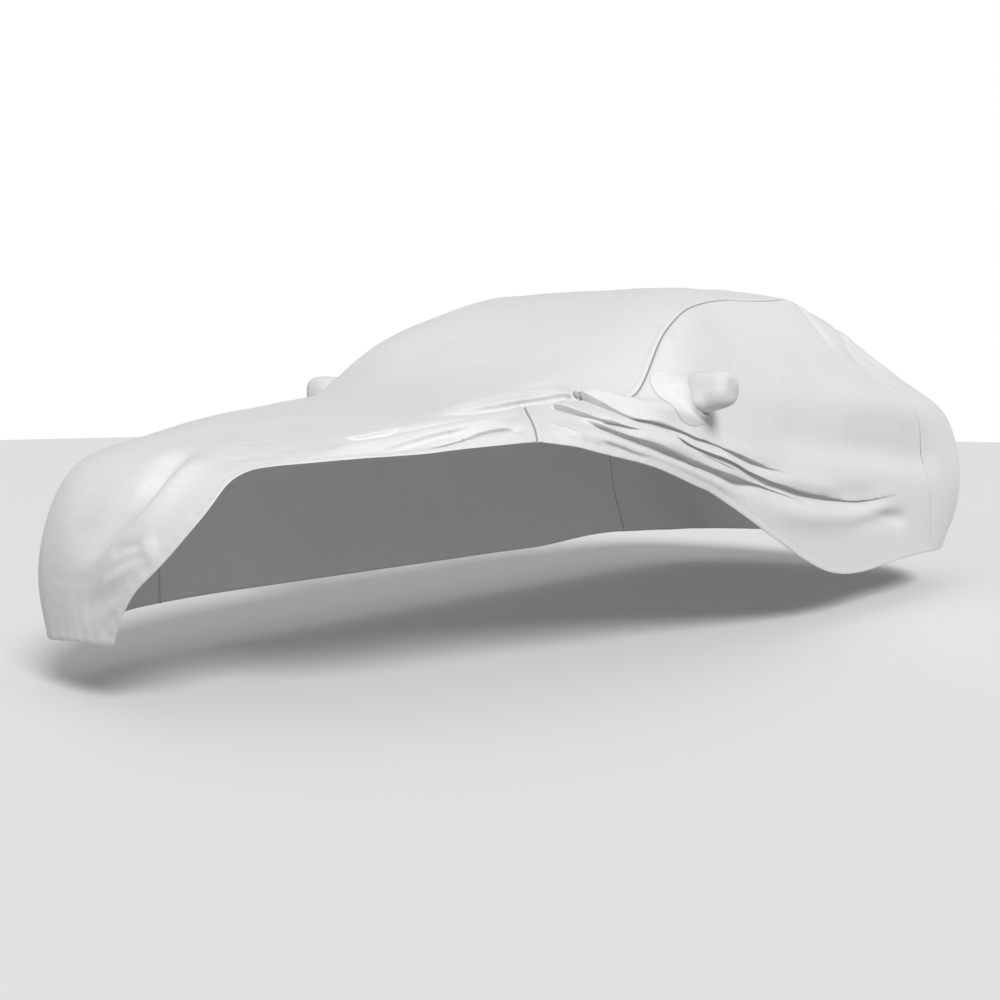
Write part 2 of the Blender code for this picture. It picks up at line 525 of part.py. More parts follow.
def build():
    for old in list(bpy.data.objects):
        bpy.data.objects.remove(old)
    places = cloth_grid()
    shape = places.shape[:2]
    points = draped(places[..., 0].ravel(), places[..., 1].ravel()).reshape(*shape, 3)
    normals = grid_normals(points)
    side_rows = slice(ROWS[0], ROWS[0] + ROWS[1])
    left = np.zeros((shape[0] - 1, shape[1] - 1), bool)
    right = left.copy()
    left[side_rows, :COLUMNS[0]] = True
    right[side_rows, COLUMNS[0] + COLUMNS[1]:] = True
    panels = (("centre_panel", ~(left | right)), ("side_panel_left", left), ("side_panel_right", right))
    for name, cells in panels:
        panel = add_piece(name, *panel_shell(points, normals, cells), CLOTH_COLOUR)
        if name != "centre_panel":
            hole = panel.modifiers.new("mirror_mouth", "BOOLEAN")
            hole.object = mouth_cutter(name + "_cutter", cells is left)
    for name, is_left in (("mirror_pocket_left", True), ("mirror_pocket_right", False)):
        add_piece(name, *pocket_shell(is_left), CLOTH_COLOUR)


build()
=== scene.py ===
"""Looks of the fitted car cover: five sewn pieces of stretch knit, with their creases, hems and seams.

The cloth is the frame's draped surface again, from the same sections and folds, on finer grids. The
larger folds' ends are drawn out, and the small creases, the pleats, the seams and the stitched hem are
added. A place on the cloth is a (station, level) pair: station 0 is the front hem's section and 23 the
rear hem's, level 0 is the left hem, 5 the crown and 10 the right hem. Lengths are in metres.
"""

import math

import bpy
import numpy as np
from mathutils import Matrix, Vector
from mathutils.kdtree import KDTree


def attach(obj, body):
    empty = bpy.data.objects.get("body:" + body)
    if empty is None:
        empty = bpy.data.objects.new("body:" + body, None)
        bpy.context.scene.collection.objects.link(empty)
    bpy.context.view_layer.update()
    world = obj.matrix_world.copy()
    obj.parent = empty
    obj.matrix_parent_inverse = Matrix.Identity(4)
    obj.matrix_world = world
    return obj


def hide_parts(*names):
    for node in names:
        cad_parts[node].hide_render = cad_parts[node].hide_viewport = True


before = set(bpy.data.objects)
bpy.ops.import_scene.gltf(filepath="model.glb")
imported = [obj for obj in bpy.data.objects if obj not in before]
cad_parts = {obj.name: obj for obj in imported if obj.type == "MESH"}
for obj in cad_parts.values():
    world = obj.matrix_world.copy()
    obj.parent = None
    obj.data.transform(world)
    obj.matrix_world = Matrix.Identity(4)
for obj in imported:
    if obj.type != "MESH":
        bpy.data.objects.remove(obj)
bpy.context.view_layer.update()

SHEET = .002                   # underside of the roof's crown, below the draped surface
SHOWN_SHEET = .0016            # thickness of the cloth as shown
SEAM_GAP = .0012               # clear space left between two panels along a seam
MOUTH_HOLD = .004              # edges this near to a mirror mouth keep their place
EDGE_ANGLE = math.radians(60)  # edges that turn by more than this look sharp
PATH_STEP = .03                # spacing of the points along a fold's line,
TRACE_STEP = .004              # and along a seam or hem
CUT_STEPS = 24                 # points that stand for each part of a seam that is cut in two
PROBE = .02                    # step in stations and levels that measures a slope
WELD_DIGITS = 7                # places that agree to this many decimals are one
SIDE_LEVEL = 2.2               # where the search for a place on the side starts,
PLACE_ROUNDS = 12              # and the corrections that it takes
BATCH = 6000                   # points set against a fold's line at a time
FOLD_REACH = 2.6               # a fold fades out at this many half widths from its line,
FOLD_FADE = 3                  # over the last third of that reach
HEM_HOLD = .045                # the elastic calms the folds within this distance of the lifted hem
HEM_CALM = .85                 # and takes away this share of them at its edge

# Rows and columns of the fine grids: their number, then the bends in their spacing, each a share of
# the steps and the place from 0 to 1 that it reaches
NOSE_ROWS = (130,)
CABIN_ROWS = (180, (.40, .17))
BOOT_ROWS = (84, (.07, .02), (.50, .25), (.90, .97))
LEFT_WING_COLUMNS = (90, (.10, .05))
MIDDLE_COLUMNS = (66, (.48, .12), (.94, .98))
RIGHT_COLUMNS = (26, (.80, .96))
LEFT_BOOT_COLUMNS = (30, (.15, .04))
LEFT_SIDE_ROWS = (340, (.45, .16), (.58, .32), (.66, .68))
LEFT_LOW_COLUMNS = (64, (.12, .05), (.40, .45))
LEFT_HIGH_COLUMNS = (76, (.50, .38), (.94, .97))
RIGHT_SIDE_ROWS = (200,)
RIGHT_SIDE_COLUMNS = (60, (.06, .02), (.90, .97))
POCKET_ROWS = (56,)
POCKET_COLUMNS = 120

# name, then the points at crown, ridge, rail, belt, side and hem, each as (forward, left, up)
SECTIONS = (
    ("front_hem", (.86, 0, .215), (.84, .36, .205), (.785, .61, .18), (.725, .71, .17),
     (.66, .77, .165), (.59, .79, .165)),
    ("bumper", (.895, 0, .45), (.87, .38, .445), (.805, .63, .42), (.735, .74, .385),
     (.63, .825, .30), (.52, .83, .17)),
    ("grille", (.84, 0, .68), (.82, .38, .675), (.745, .635, .655), (.655, .77, .58),
     (.53, .86, .42), (.43, .85, .175)),
    ("bonnet_edge", (.69, 0, .81), (.675, .38, .808), (.61, .66, .785), (.52, .80, .70),
     (.42, .89, .50), (.33, .88, .18)),
    ("bonnet_front", (.42, 0, .885), (.42, .38, .882), (.39, .69, .845), (.34, .83, .765),
     (.28, .92, .56), (.22, .90, .19)),
    ("bonnet_mid", (.15, 0, .945), (.15, .40, .94), (.14, .74, .895), (.12, .87, .80),
     (.10, .945, .60), (.08, .915, .195)),
    ("front_wheel", (-.12, 0, .985), (-.12, .41, .98), (-.12, .76, .93), (-.12, .885, .84),
     (-.12, .95, .62), (-.12, .92, .20)),
    ("bonnet_rear", (-.40, 0, 1.03), (-.40, .42, 1.022), (-.40, .78, .97), (-.40, .90, .88),
     (-.40, .955, .64), (-.40, .93, .20)),
    ("cowl", (-.65, 0, 1.10), (-.65, .43, 1.087), (-.67, .805, 1.01), (-.67, .91, .92),
     (-.67, .96, .66), (-.67, .93, .20)),
    ("screen_low", (-.95, 0, 1.255), (-.95, .44, 1.25), (-.95, .75, 1.205), (-.95, .905, .965),
     (-.95, .96, .66), (-.95, .93, .20)),
    ("screen_mid", (-1.20, 0, 1.385), (-1.20, .43, 1.382), (-1.20, .69, 1.33), (-1.20, .90, .98),
     (-1.20, .96, .66), (-1.20, .93, .20)),
    ("screen_top", (-1.47, 0, 1.468), (-1.47, .42, 1.463), (-1.47, .625, 1.395), (-1.47, .895, .985),
     (-1.47, .96, .66), (-1.47, .93, .20)),
    ("roof_front", (-1.80, 0, 1.497), (-1.80, .40, 1.49), (-1.80, .595, 1.435), (-1.80, .89, .99),
     (-1.80, .96, .66), (-1.80, .93, .20)),
    ("roof_mid", (-2.20, 0, 1.512), (-2.20, .40, 1.503), (-2.20, .59, 1.455), (-2.20, .89, .99),
     (-2.20, .96, .66), (-2.20, .93, .20)),
    ("roof_rear", (-2.56, 0, 1.50), (-2.56, .40, 1.493), (-2.56, .59, 1.44), (-2.58, .89, .985),
     (-2.58, .96, .66), (-2.58, .93, .20)),
    ("pillar_top", (-2.80, 0, 1.465), (-2.80, .48, 1.445), (-2.74, .675, 1.295), (-2.80, .89, .975),
     (-2.80, .96, .66), (-2.80, .935, .21)),
    ("pillar_low", (-3.05, 0, 1.395), (-3.05, .56, 1.355), (-2.94, .745, 1.165), (-3.02, .90, .96),
     (-3.04, .96, .65), (-3.04, .94, .22)),
    ("window_low", (-3.35, 0, 1.285), (-3.35, .56, 1.25), (-3.30, .785, 1.10), (-3.32, .90, .94),
     (-3.33, .965, .64), (-3.33, .94, .22)),
    ("boot_front", (-3.68, 0, 1.165), (-3.68, .53, 1.14), (-3.64, .79, 1.04), (-3.64, .90, .91),
     (-3.62, .96, .62), (-3.55, .92, .21)),
    ("boot_rear", (-4.00, 0, 1.075), (-3.99, .48, 1.06), (-3.94, .76, .98), (-3.90, .875, .84),
     (-3.84, .935, .57), (-3.72, .89, .205)),
    ("tail_edge", (-4.23, 0, .985), (-4.22, .42, .97), (-4.15, .70, .89), (-4.07, .825, .75),
     (-3.97, .895, .48), (-3.84, .85, .20)),
    ("tail", (-4.34, 0, .75), (-4.32, .38, .74), (-4.24, .64, .68), (-4.15, .77, .57),
     (-4.04, .85, .38), (-3.93, .81, .20)),
    ("rear_bumper", (-4.345, 0, .46), (-4.32, .35, .45), (-4.24, .59, .41), (-4.15, .71, .35),
     (-4.06, .79, .27), (-3.99, .77, .20)),
    ("rear_hem", (-4.26, 0, .20), (-4.235, .31, .20), (-4.17, .51, .20), (-4.11, .62, .20),
     (-4.06, .69, .20), (-4.02, .73, .20)),
)
STATION = {section[0]: number for number, section in enumerate(SECTIONS)}
ROOF_CROWN = SECTIONS[STATION["roof_mid"]][1]
ORIGIN = np.array(ROOF_CROWN) - (0, 0, SHEET)

# Lines that bound the panels, as (station, level) points.
WING = 6.46                    # station of the wing seams' upper ends
QUARTER = 15.3                 # station where the rear seams leave the roof rails
LAST = len(SECTIONS) - 1
LEFT_HEM, LEFT_RAIL, RIGHT_RAIL, RIGHT_HEM = 0, 3, 7, 10
FRONT_HEM_LEVELS = (5.51, 6.45, 8.2, RIGHT_HEM)
WING_SEAM = ((5.58, 2.33), (5.78, 2.70), (5.96, 3.00), (6.20, 3.26), (WING, 3.45))
WING_SEAM_FOOT = ((5.0, 0), (5.25, 1.2), (5.58, 2.33), (5.96, 3.00), (WING, 3.45))
REAR_SEAM = ((17.4, 0), (17.04, .65), (16.96, .95), (16.7, 1.7), (16.3, 2.4), (15.8, 2.8),
             (QUARTER, LEFT_RAIL))
LIFTED_HEM_FRONT = ((0, 5.51), (.35, 5.32), (.82, 5.03), (1.15, 4.75), (1.63, 4.45), (2.1, 4.29),
                    (2.5, 4.25), (2.73, 4.17), (2.87, 4.00), (2.99, 3.72), (3.16, 3.42), (3.67, 2.95),
                    (4.96, 2.48), (5.58, 2.33))
LIFTED_HEM_SIDE = ((5.58, 2.33), (6.04, 2.05), (6.46, 1.80), (6.88, 1.62), (7.38, 1.45), (7.92, 1.28),
                   (8.54, 1.10), (9.21, .96), (10.7, .64), (12.0, .30), (12.9, .07), (13.8, 0),
                   (17.4, 0))
NOSE_FOLD_LINE = ((0, 6.45), (.6, 5.95), (1.2, 5.60), (1.8, 5.35), (2.5, 5.10), (3.0, 4.75),
                  (3.6, 4.30), (4.6, 3.90), (5.6, 3.65), (WING, 3.45))
WING_PART, REAR_PART = .5, .22  # shares of the seams at which the side panel's main folds meet them
MAIN_FOLD_LINE = ((6.7, 2.75), (6.92, 2.55), (7.25, 2.25), (7.7, 1.98), (8.2, 1.79), (8.9, 1.57),
                  (9.6, 1.42), (10.6, 1.21), (11.5, 1.03), (12.5, .89), (13.6, .80), (14.8, .78),
                  (16.0, .84))
PILLAR_SEAM = ((WING, 3.45), (6.75, 3.30), (7.15, 3.36), (7.50, 3.40), (7.72, 3.22), (7.95, 3.02),
               (8.2, 3.0), (10.0, 3.0), (QUARTER, LEFT_RAIL))
RIGHT_BONNET_LINE = ((0, 8.2), (1, 7.95), (2, 7.60), (3, 7.25), (4, 6.95), (5.3, 6.70), (WING, 6.55))
RIGHT_PILLAR_SEAM = ((WING, 6.55), (7.2, 6.80), (8.04, 7.0), (10.0, 7.0), (QUARTER, RIGHT_RAIL))

# name, rise (troughs are negative), lean to the left of the line, half width, fade-in and fade-out
# lengths, line
FOLDS = (
    ("nose_trough", -.030, 0, .055, .10, .25,
     ((3.3, 5.05), (2.96, 5.18), (2.54, 5.10), (2.17, 5.12), (1.83, 5.28), (1.58, 5.48), (1.17, 5.93))),
    ("nose_ridge", .022, 0, .060, .15, .40,
     ((3.1, 4.75), (2.6, 4.85), (2.1, 4.88), (1.6, 5.15), (1.1, 5.55), (.7, 5.95))),
    ("nose_fan_high", .012, 0, .035, .08, .28, ((1.55, 4.75), (1.25, 4.95), (.95, 5.30), (.7, 5.75))),
    ("nose_fan_low", -.007, 0, .030, .06, .12, ((1.25, 4.80), (.95, 5.15), (.62, 5.60), (.30, 5.95))),
    ("bonnet_roll", .022, 0, .050, .20, .10,
     ((3.1, 3.75), (3.6, 3.45), (4.3, 3.30), (5.0, 3.20), (5.7, 3.08))),
    ("bonnet_trough", -.020, 0, .035, .20, .10,
     ((3.46, 3.62), (4.12, 3.55), (4.88, 3.42), (5.40, 3.32), (6.0, 3.28))),
    ("bonnet_hem_roll", .018, 0, .040, .15, .05,
     ((3.8, 2.88), (4.3, 2.76), (4.9, 2.68), (5.5, 2.62))),
    ("bonnet_hem_trough", -.016, 0, .028, .15, .05,
     ((3.75, 3.06), (4.25, 2.98), (4.83, 2.95), (5.21, 2.93), (5.71, 2.85))),
    ("cowl_ridge", .026, 0, .045, .25, .12,
     ((5.0, 3.72), (5.92, 3.70), (6.58, 3.70), (7.21, 3.60), (7.58, 3.50))),
    ("cowl_trough", -.016, 0, .050, .30, .15,
     ((5.6, 3.98), (6.3, 3.98), (7.0, 3.92), (7.6, 3.82), (7.9, 3.60))),
    ("lip", .026, -.006, .034, .07, .12,
     ((7.55, 3.46), (7.66, 3.20), (7.80, 2.88), (7.98, 2.50), (8.3, 2.18), (8.75, 1.92), (9.4, 1.70))),
    ("trough_high", -.022, 0, .026, .25, .40,
     ((7.50, 3.40), (7.46, 2.90), (7.58, 2.55), (7.79, 2.23), (8.00, 2.00), (8.42, 1.78), (8.92, 1.62),
      (9.50, 1.53), (9.96, 1.40), (10.92, 1.23), (11.83, 1.07))),
    ("roll_high", .026, -.006, .038, .35, .50,
     ((7.25, 2.60), (7.50, 2.30), (7.85, 1.98), (8.42, 1.68), (9.3, 1.48),
      (10.4, 1.24), (11.4, 1.06), (12.4, .93), (13.5, .84))),
    ("trough_mid", -.020, 0, .024, .22, .30,
     ((6.67, 3.20), (6.75, 2.98), (6.92, 2.68), (7.00, 2.43), (7.29, 2.15), (7.58, 1.93), (7.92, 1.76),
      (8.54, 1.57), (9.2, 1.40), (10.1, 1.21))),
    ("roll_mid", .028, -.006, .034, .22, .35,
     ((6.66, 2.98), (6.82, 2.55), (7.02, 2.20), (7.38, 1.98), (7.75, 1.78), (8.3, 1.58), (8.9, 1.44),
      (9.7, 1.27), (10.6, 1.12))),
    ("trough_low", -.026, 0, .026, .15, .25,
     ((6.71, 2.60), (6.88, 2.27), (7.08, 2.00), (7.33, 1.83), (7.62, 1.67), (8.00, 1.52), (8.38, 1.42),
      (8.79, 1.33), (9.29, 1.22), (10.1, 1.05), (10.9, .97))),
    ("hem_roll", .026, -.006, .040, .12, .30,
     ((5.95, 2.55), (6.4, 2.15), (6.8, 1.90), (7.3, 1.66), (7.9, 1.45), (8.6, 1.26), (9.4, 1.08),
      (10.3, .90))),
    ("side_trough", -.030, 0, .050, .50, .35,
     ((9.54, 1.36), (10.50, 1.16), (11.46, .99), (12.38, .87), (13.17, .79), (14.25, .74),
      (15.0, .74))),
    ("side_roll", .022, 0, .060, .50, .40,
     ((10.2, .90), (11.3, .76), (12.4, .66), (13.4, .62), (14.6, .62), (15.8, .62))),
    ("quarter_trough", -.018, 0, .045, .30, .20, ((13.2, .52), (14.6, .50), (16.17, .43))),
    ("pillar_trough", -.028, 0, .030, .10, .30,
     ((13.85, 2.80), (13.95, 2.60), (14.10, 2.50), (14.4, 2.46), (14.83, 2.50), (15.4, 2.55))),
    ("pillar_ridge", .020, 0, .035, .10, .30, ((14.3, 2.95), (14.7, 2.80), (15.2, 2.74), (15.9, 2.75))),
    ("window_trough", -.022, 0, .028, .08, .20,
     ((15.45, 3.75), (15.94, 3.62), (16.4, 3.52), (16.8, 3.34), (17.1, 3.15))),
    ("window_ridge", .014, 0, .030, .08, .20,
     ((15.6, 3.36), (16.0, 3.26), (16.5, 3.12), (17.0, 2.95))),
    ("door_trough", -.034, 0, .105, .60, .45,
     ((10.2, 1.66), (12.0, 1.54), (13.7, 1.40), (16.1, 1.30), (17.8, 1.24))),
)

# The small creases: name, rise, step (the cloth to the left of the line stands out and laps over the
# cloth to its right), softness of the lap's edge, width, fade-in and fade-out lengths, line
STEEP = .005                   # half the width of a step's steep face
HOLLOW = 1.7                   # share of the step by which the cloth under its edge is drawn in
LAP = 1.6                      # share of the step by which its edge laps over the cloth under it,
LAP_REACH = .015               # fading out this far from the edge
SPREAD = .4                    # share by which the steep face widens in each metre of crease
CREASES = (
    ("step_high", 0, .0120, 0, .034, .015, .55,
     ((7.55, 3.50), (7.47, 3.33), (7.46, 3.12), (7.48, 2.88), (7.54, 2.62), (7.68, 2.36), (7.88, 2.14),
      (8.12, 1.94), (8.42, 1.79), (8.75, 1.67), (9.22, 1.58), (9.6, 1.51), (10.16, 1.40), (10.8, 1.27),
      (11.44, 1.14), (12.0, 1.06))),
    ("step_mid", 0, .0125, 0, .030, .015, .12,
     ((6.68, 3.25), (6.72, 3.12), (6.77, 2.95), (6.83, 2.77), (6.92, 2.60), (7.03, 2.46), (7.15, 2.31),
      (7.30, 2.11), (7.46, 1.97), (7.62, 1.88))),
    ("step_low", 0, .0110, 0, .032, .10, .90,
     ((6.62, 2.70), (6.69, 2.50), (6.80, 2.33), (6.99, 2.17), (7.25, 1.95), (7.62, 1.73), (8.14, 1.52),
      (8.75, 1.37), (9.43, 1.24), (10.23, 1.10), (11.04, .97), (12.0, .80), (13.0, .66))),
    ("step_long", 0, .0140, .018, .040, .15, .50,
     ((8.12, 1.76), (8.63, 1.60), (9.28, 1.44), (10.06, 1.28), (10.98, 1.09), (11.7, .96), (12.4, .87),
      (13.1, .78), (13.8, .74), (14.75, .74), (15.6, .75))),
    ("step_below", 0, .0050, .008, .022, .08, .12,
     ((8.68, 1.50), (8.95, 1.44), (9.30, 1.36), (9.60, 1.29), (10.0, 1.20))),
    ("step_thin", 0, .0060, .006, .022, .08, .15,
     ((8.45, 1.40), (8.76, 1.32), (9.04, 1.24), (9.47, 1.13), (10.0, 1.01))),
    ("step_wing", 0, .0050, .006, .020, .04, .06,
     ((6.10, 2.78), (6.16, 2.62), (6.22, 2.45), (6.30, 2.26), (6.40, 2.12))),
    ("wing_pucker", -.0050, 0, 0, .014, .04, .05, ((6.45, 2.34), (6.52, 2.17), (6.64, 2.03))),
    ("step_wing_low", 0, .0050, .006, .020, .05, .08,
     ((6.60, 1.96), (6.76, 1.86), (6.91, 1.78), (7.06, 1.70), (7.22, 1.62), (7.45, 1.53), (7.61, 1.47))),
    ("quarter_low", -.0080, 0, 0, .030, .20, .20,
     ((13.36, .70), (13.9, .62), (15.0, .52), (15.8, .46), (16.3, .44))),
    ("shoulder", .022, 0, 0, .095, .70, .40,
     ((12.3, 2.05), (13.1, 2.02), (14.0, 2.00), (16.3, 2.00), (17.1, 1.98), (17.7, 1.94), (18.6, 1.88))),
    ("tail_hollow", -.012, 0, 0, .085, .60, .40,
     ((12.6, 1.46), (14.0, 1.32), (16.0, 1.20), (16.9, 1.16), (17.6, 1.14), (18.6, 1.14))),
    ("pillar_first", -.0190, 0, 0, .021, .05, .30,
     ((13.74, 2.98), (13.82, 2.86), (13.90, 2.74), (14.04, 2.64), (14.3, 2.56), (14.82, 2.56),
      (15.6, 2.74))),
    ("pillar_second", -.0140, 0, 0, .023, .06, .15,
     ((15.6, 3.84), (15.85, 3.78), (15.96, 3.62), (16.0, 3.42), (16.2, 3.26), (16.6, 3.14))),
    ("cowl_step", 0, .0110, .012, .040, .35, .02,
     ((5.09, 3.68), (5.35, 3.60), (5.73, 3.57), (6.14, 3.55), (6.52, 3.52), (6.91, 3.49), (7.31, 3.46),
      (7.48, 3.46))),
    ("screen_pucker_a", -.0090, 0, 0, .020, .03, .03, ((10.01, 2.96), (9.96, 2.76))),
    ("screen_pucker_b", -.0080, 0, 0, .020, .03, .03, ((10.34, 2.94), (10.4, 2.78))),
    ("screen_pucker_c", -.0080, 0, 0, .020, .03, .03, ((9.57, 2.99), (9.36, 2.76))),
    ("bonnet_pucker_a", -.0060, .0060, .010, .024, .05, .05,
     ((3.88, 3.83), (4.07, 3.74), (4.28, 3.69), (4.57, 3.63))),
    ("bonnet_pucker_b", -.0060, .0080, .014, .036, .10, .12,
     ((3.44, 3.24), (3.68, 3.21), (3.98, 3.20), (4.33, 3.18), (4.69, 3.14), (5.1, 3.06))),
    ("bonnet_pucker_c", -.0040, .0095, .012, .030, .08, .10,
     ((4.07, 3.01), (4.37, 3.01), (4.73, 3.02), (5.09, 2.99), (5.4, 2.94), (5.7, 2.84))),
    ("bonnet_pucker_d", -.0030, .0050, .006, .020, .06, .06,
     ((4.47, 2.71), (4.72, 2.63), (5.0, 2.54), (5.27, 2.44))),
    ("hem_pucker_a", -.0050, 0, 0, .012, .02, .05, ((3.05, 4.51), (3.05, 4.27))),
    ("hem_pucker_b", -.0055, 0, 0, .013, .05, .02, ((3.24, 4.38), (3.07, 4.05))),
    ("hem_pucker_c", -.0055, 0, 0, .013, .05, .02, ((3.45, 4.21), (3.33, 3.92))),
    ("hem_pucker_d", -.0040, 0, 0, .011, .02, .02, ((3.27, 3.78), (3.26, 3.67))),
    ("hem_pucker_e", -.0040, 0, 0, .011, .02, .02, ((3.46, 3.69), (3.43, 3.57))),
    ("bonnet_line", -.0018, 0, 0, .018, .10, .10, ((3.29, 4.82), (3.56, 4.57), (3.74, 4.21))),
    ("nose_line_a", -.0080, 0, 0, .024, .05, .20,
     ((3.0, 5.16), (2.47, 5.07), (1.88, 5.09), (1.56, 5.3), (1.3, 5.59), (1.17, 5.93))),
    ("nose_line_b", .0040, 0, 0, .016, .05, .06, ((2.46, 5.2), (2.31, 5.27), (2.01, 5.34))),
    ("nose_line_c", -.0060, 0, 0, .015, .03, .06, ((1.41, 4.93), (1.37, 5.14), (1.23, 5.34))),
    ("nose_line_d", -.0060, 0, 0, .015, .03, .08, ((1.31, 4.85), (1.2, 5.1), (1.04, 5.34), (.79, 5.46))),
    ("nose_line_e", -.0035, 0, 0, .015, .03, .10, ((.77, 5.14), (.67, 5.37), (.48, 5.59), (.21, 5.73))),
    ("nose_line_f", -.0045, 0, 0, .013, .03, .08, ((.51, 5.31), (.31, 5.5), (.01, 5.64))),
    ("roof_line", -.0016, 0, 0, .012, .15, .15, ((10.29, 5.53), (10.04, 4.28), (10.54, 3.1))),
    ("nose_seamline", -.0014, 0, 0, .012, .10, .10, ((.88, 7.03), (.88, 5.48))),
)

# The cloth's slow unevenness: rise, waves in each metre along and over, and the phase
WAVES = ((.0010, 2.1, 1.3, .4), (.0008, 1.2, -2.6, 2.1), (.0005, 3.7, .8, 4.0), (.0004, -2.9, 3.9, 1.2),
         (.0003, 5.3, 2.2, 5.1), (.0003, 1.7, 6.1, 3.3))
WAVE_HOLD = .2                 # the waves die out over this distance from a hem

# Hems and seams, on the cloth and along its edges.
HEM_BAND = .025                # width of the turned and stitched hem
BAND_RISE = .0012
BAND_EDGE = .004               # width of the slope, and of the groove, along the band's stitching
ROLL_DEPTH = .0035             # the hem's edge turns in by this much
ROLL_WIDTH = .007
GATHER_RISE = .0012
GATHER_LENGTH = .062
GATHER_REACH = .055
GATHER_START = .012
GATHER_DRIFT = ((1.7, 9, 0), (1.1, 23, 1))    # size, rate and phase of the gathers' unevenness
SEAM_DEPTH = .0040
SEAM_WIDTH = .005
SEAM_RIDGE = .0022
RIDGE_AWAY, RIDGE_WIDTH = .015, .007
MOUTH_DEPTH = .0015

# Mirror pocket, measured as the sections are. Its mouth is an oval in the side panel.
MOUTH_X = -.893
MOUTH_Z = 1.005
MOUTH_HALF_X = .138
MOUTH_HALF_Z = .105
MOUTH_POINTS = 25              # points that stand for the oval
MOUTH_CLEARANCE = .0004
# stand-off from the side, how upright, outward place, centre x, centre z, half x, half z, squareness
POCKET_RINGS = (
    (.000, 0.0, 0.88, MOUTH_X, MOUTH_Z, MOUTH_HALF_X, MOUTH_HALF_Z, 2.0),
    (.002, 0.0, 0.89, -.910, 1.007, .112, .092, 2.1),
    (.012, 0.1, 0.90, -.930, 1.011, .082, .082, 2.3),
    (.050, 0.4, 0.93, -.936, 1.020, .070, .079, 2.5),
    (.000, 1.0, 0.972, -.938, 1.029, .074, .076, 2.7),
    (.000, 1.0, 1.016, -.942, 1.035, .074, .069, 2.7),
    (.000, 1.0, 1.046, -.945, 1.038, .065, .058, 2.6),
    (.000, 1.0, 1.061, -.946, 1.039, .043, .038, 2.4),
    (.000, 1.0, 1.066, -.946, 1.039, .002, .002, 2.0),
)
POCKET_SEAM = .0028            # the painted shade at the pocket's seam is as faint as a panel's seam shade is this far away
POCKET_LENGTH = .28            # cloth from the pocket's mouth to its end
POCKET_ROUND = .075            # mean radius, which spaces the knit round the pocket
POCKET_FOOT = 6                # rings nearer than one sixth of the way out lean onto the side
POCKET_FREE = (.04, .10)       # share of the way out where the hollows start, and their slope's length
# the soft ribs round the pocket's neck: rise, count, twist, twists round, place and spread
POCKET_RIBS = (.0016, 7, 1.3, 2, .28, .12)
# depth, reach, and place of the pocket's hollows: x, outward, z
POCKET_HOLLOWS = (
    (.016, .026, (-.850, .868, 1.035)),
    (.010, .024, (-.868, .958, .985)),
    (-.004, .020, (-.860, .900, 1.082)),
)


def section_net():
    """All section points, from the left hem over the crown to the right hem."""
    rows = []
    for _, *half in SECTIONS:
        left = half[::-1]
        right = [(x, -y, z) for x, y, z in half[1:]]
        rows.append(left + right)
    return np.array(rows, float)


NET = section_net()
STATION_PLACES = np.concatenate(([0], np.cumsum(np.linalg.norm(np.diff(NET, axis=0), axis=2).mean(1))))
LEVEL_PLACES = np.concatenate(([0], np.cumsum(np.linalg.norm(np.diff(NET, axis=1), axis=2).mean(0))))


def natural_weights(knots, at):
    """Weights of the knots' values for a natural cubic curve at the given places."""
    count = len(knots)
    step = np.diff(knots)
    bend = np.eye(count)
    jump = np.zeros((count, count))
    for k in range(1, count - 1):
        bend[k, k - 1:k + 2] = step[k - 1], 2 * (step[k - 1] + step[k]), step[k]
        jump[k, k - 1:k + 2] = 6 / step[k - 1], -6 / step[k - 1] - 6 / step[k], 6 / step[k]
    curvature = np.linalg.solve(bend, jump)
    k = np.clip(np.searchsorted(knots, at, side="right") - 1, 0, count - 2)
    width = step[k]
    a = (knots[k + 1] - at) / width
    b = 1 - a
    weights = np.zeros((len(at), count))
    rows = np.arange(len(at))
    weights[rows, k] += a
    weights[rows, k + 1] += b
    square = (width ** 2 / 6)[:, None]
    weights += (a ** 3 - a)[:, None] * square * curvature[k]
    weights += (b ** 3 - b)[:, None] * square * curvature[k + 1]
    return weights


def even_slope(before, after):
    """Slope between two spans that never overshoots: zero at a turn, else the harmonic mean."""
    same = before * after > 0
    total = np.where(same, before + after, 1)
    return np.where(same, 2 * before * after / total, 0)


def cloth_place(station, level):
    """How far along and over the cloth a place lies."""
    along = np.interp(station, np.arange(len(STATION_PLACES)), STATION_PLACES)
    over = np.interp(level, np.arange(len(LEVEL_PLACES)), LEVEL_PLACES)
    return along, over


def smooth_surface(station, level):
    """Points of the unfolded cloth at flat arrays of stations and levels."""
    along, over = cloth_place(station, level)
    ribs = np.tensordot(natural_weights(STATION_PLACES, along), NET, 1)
    k = np.clip(np.searchsorted(LEVEL_PLACES, over, side="right") - 1, 0, len(LEVEL_PLACES) - 2)
    near = np.clip(k[:, None] + np.arange(-1, 3), 0, len(LEVEL_PLACES) - 1)
    points = ribs[np.arange(len(k))[:, None], near]
    spans = np.diff(LEVEL_PLACES[near], axis=1)[..., None]
    slopes = np.diff(points, axis=1) / np.where(spans > 0, spans, 1)
    middle = slopes[:, 1]
    first = np.where(spans[:, 0] > 0, even_slope(slopes[:, 0], middle), middle)
    last = np.where(spans[:, 2] > 0, even_slope(middle, slopes[:, 2]), middle)
    width = spans[:, 1]
    t = ((over - LEVEL_PLACES[k]) / width[:, 0])[:, None]
    start = points[:, 1] * (1 + 2 * t) + first * width * t
    end = points[:, 2] * (3 - 2 * t) - last * width * (1 - t)
    return start * (1 - t) ** 2 + end * t ** 2


def unit(vectors):
    """The vectors, each made one long."""
    return vectors / np.linalg.norm(vectors, axis=-1, keepdims=True)


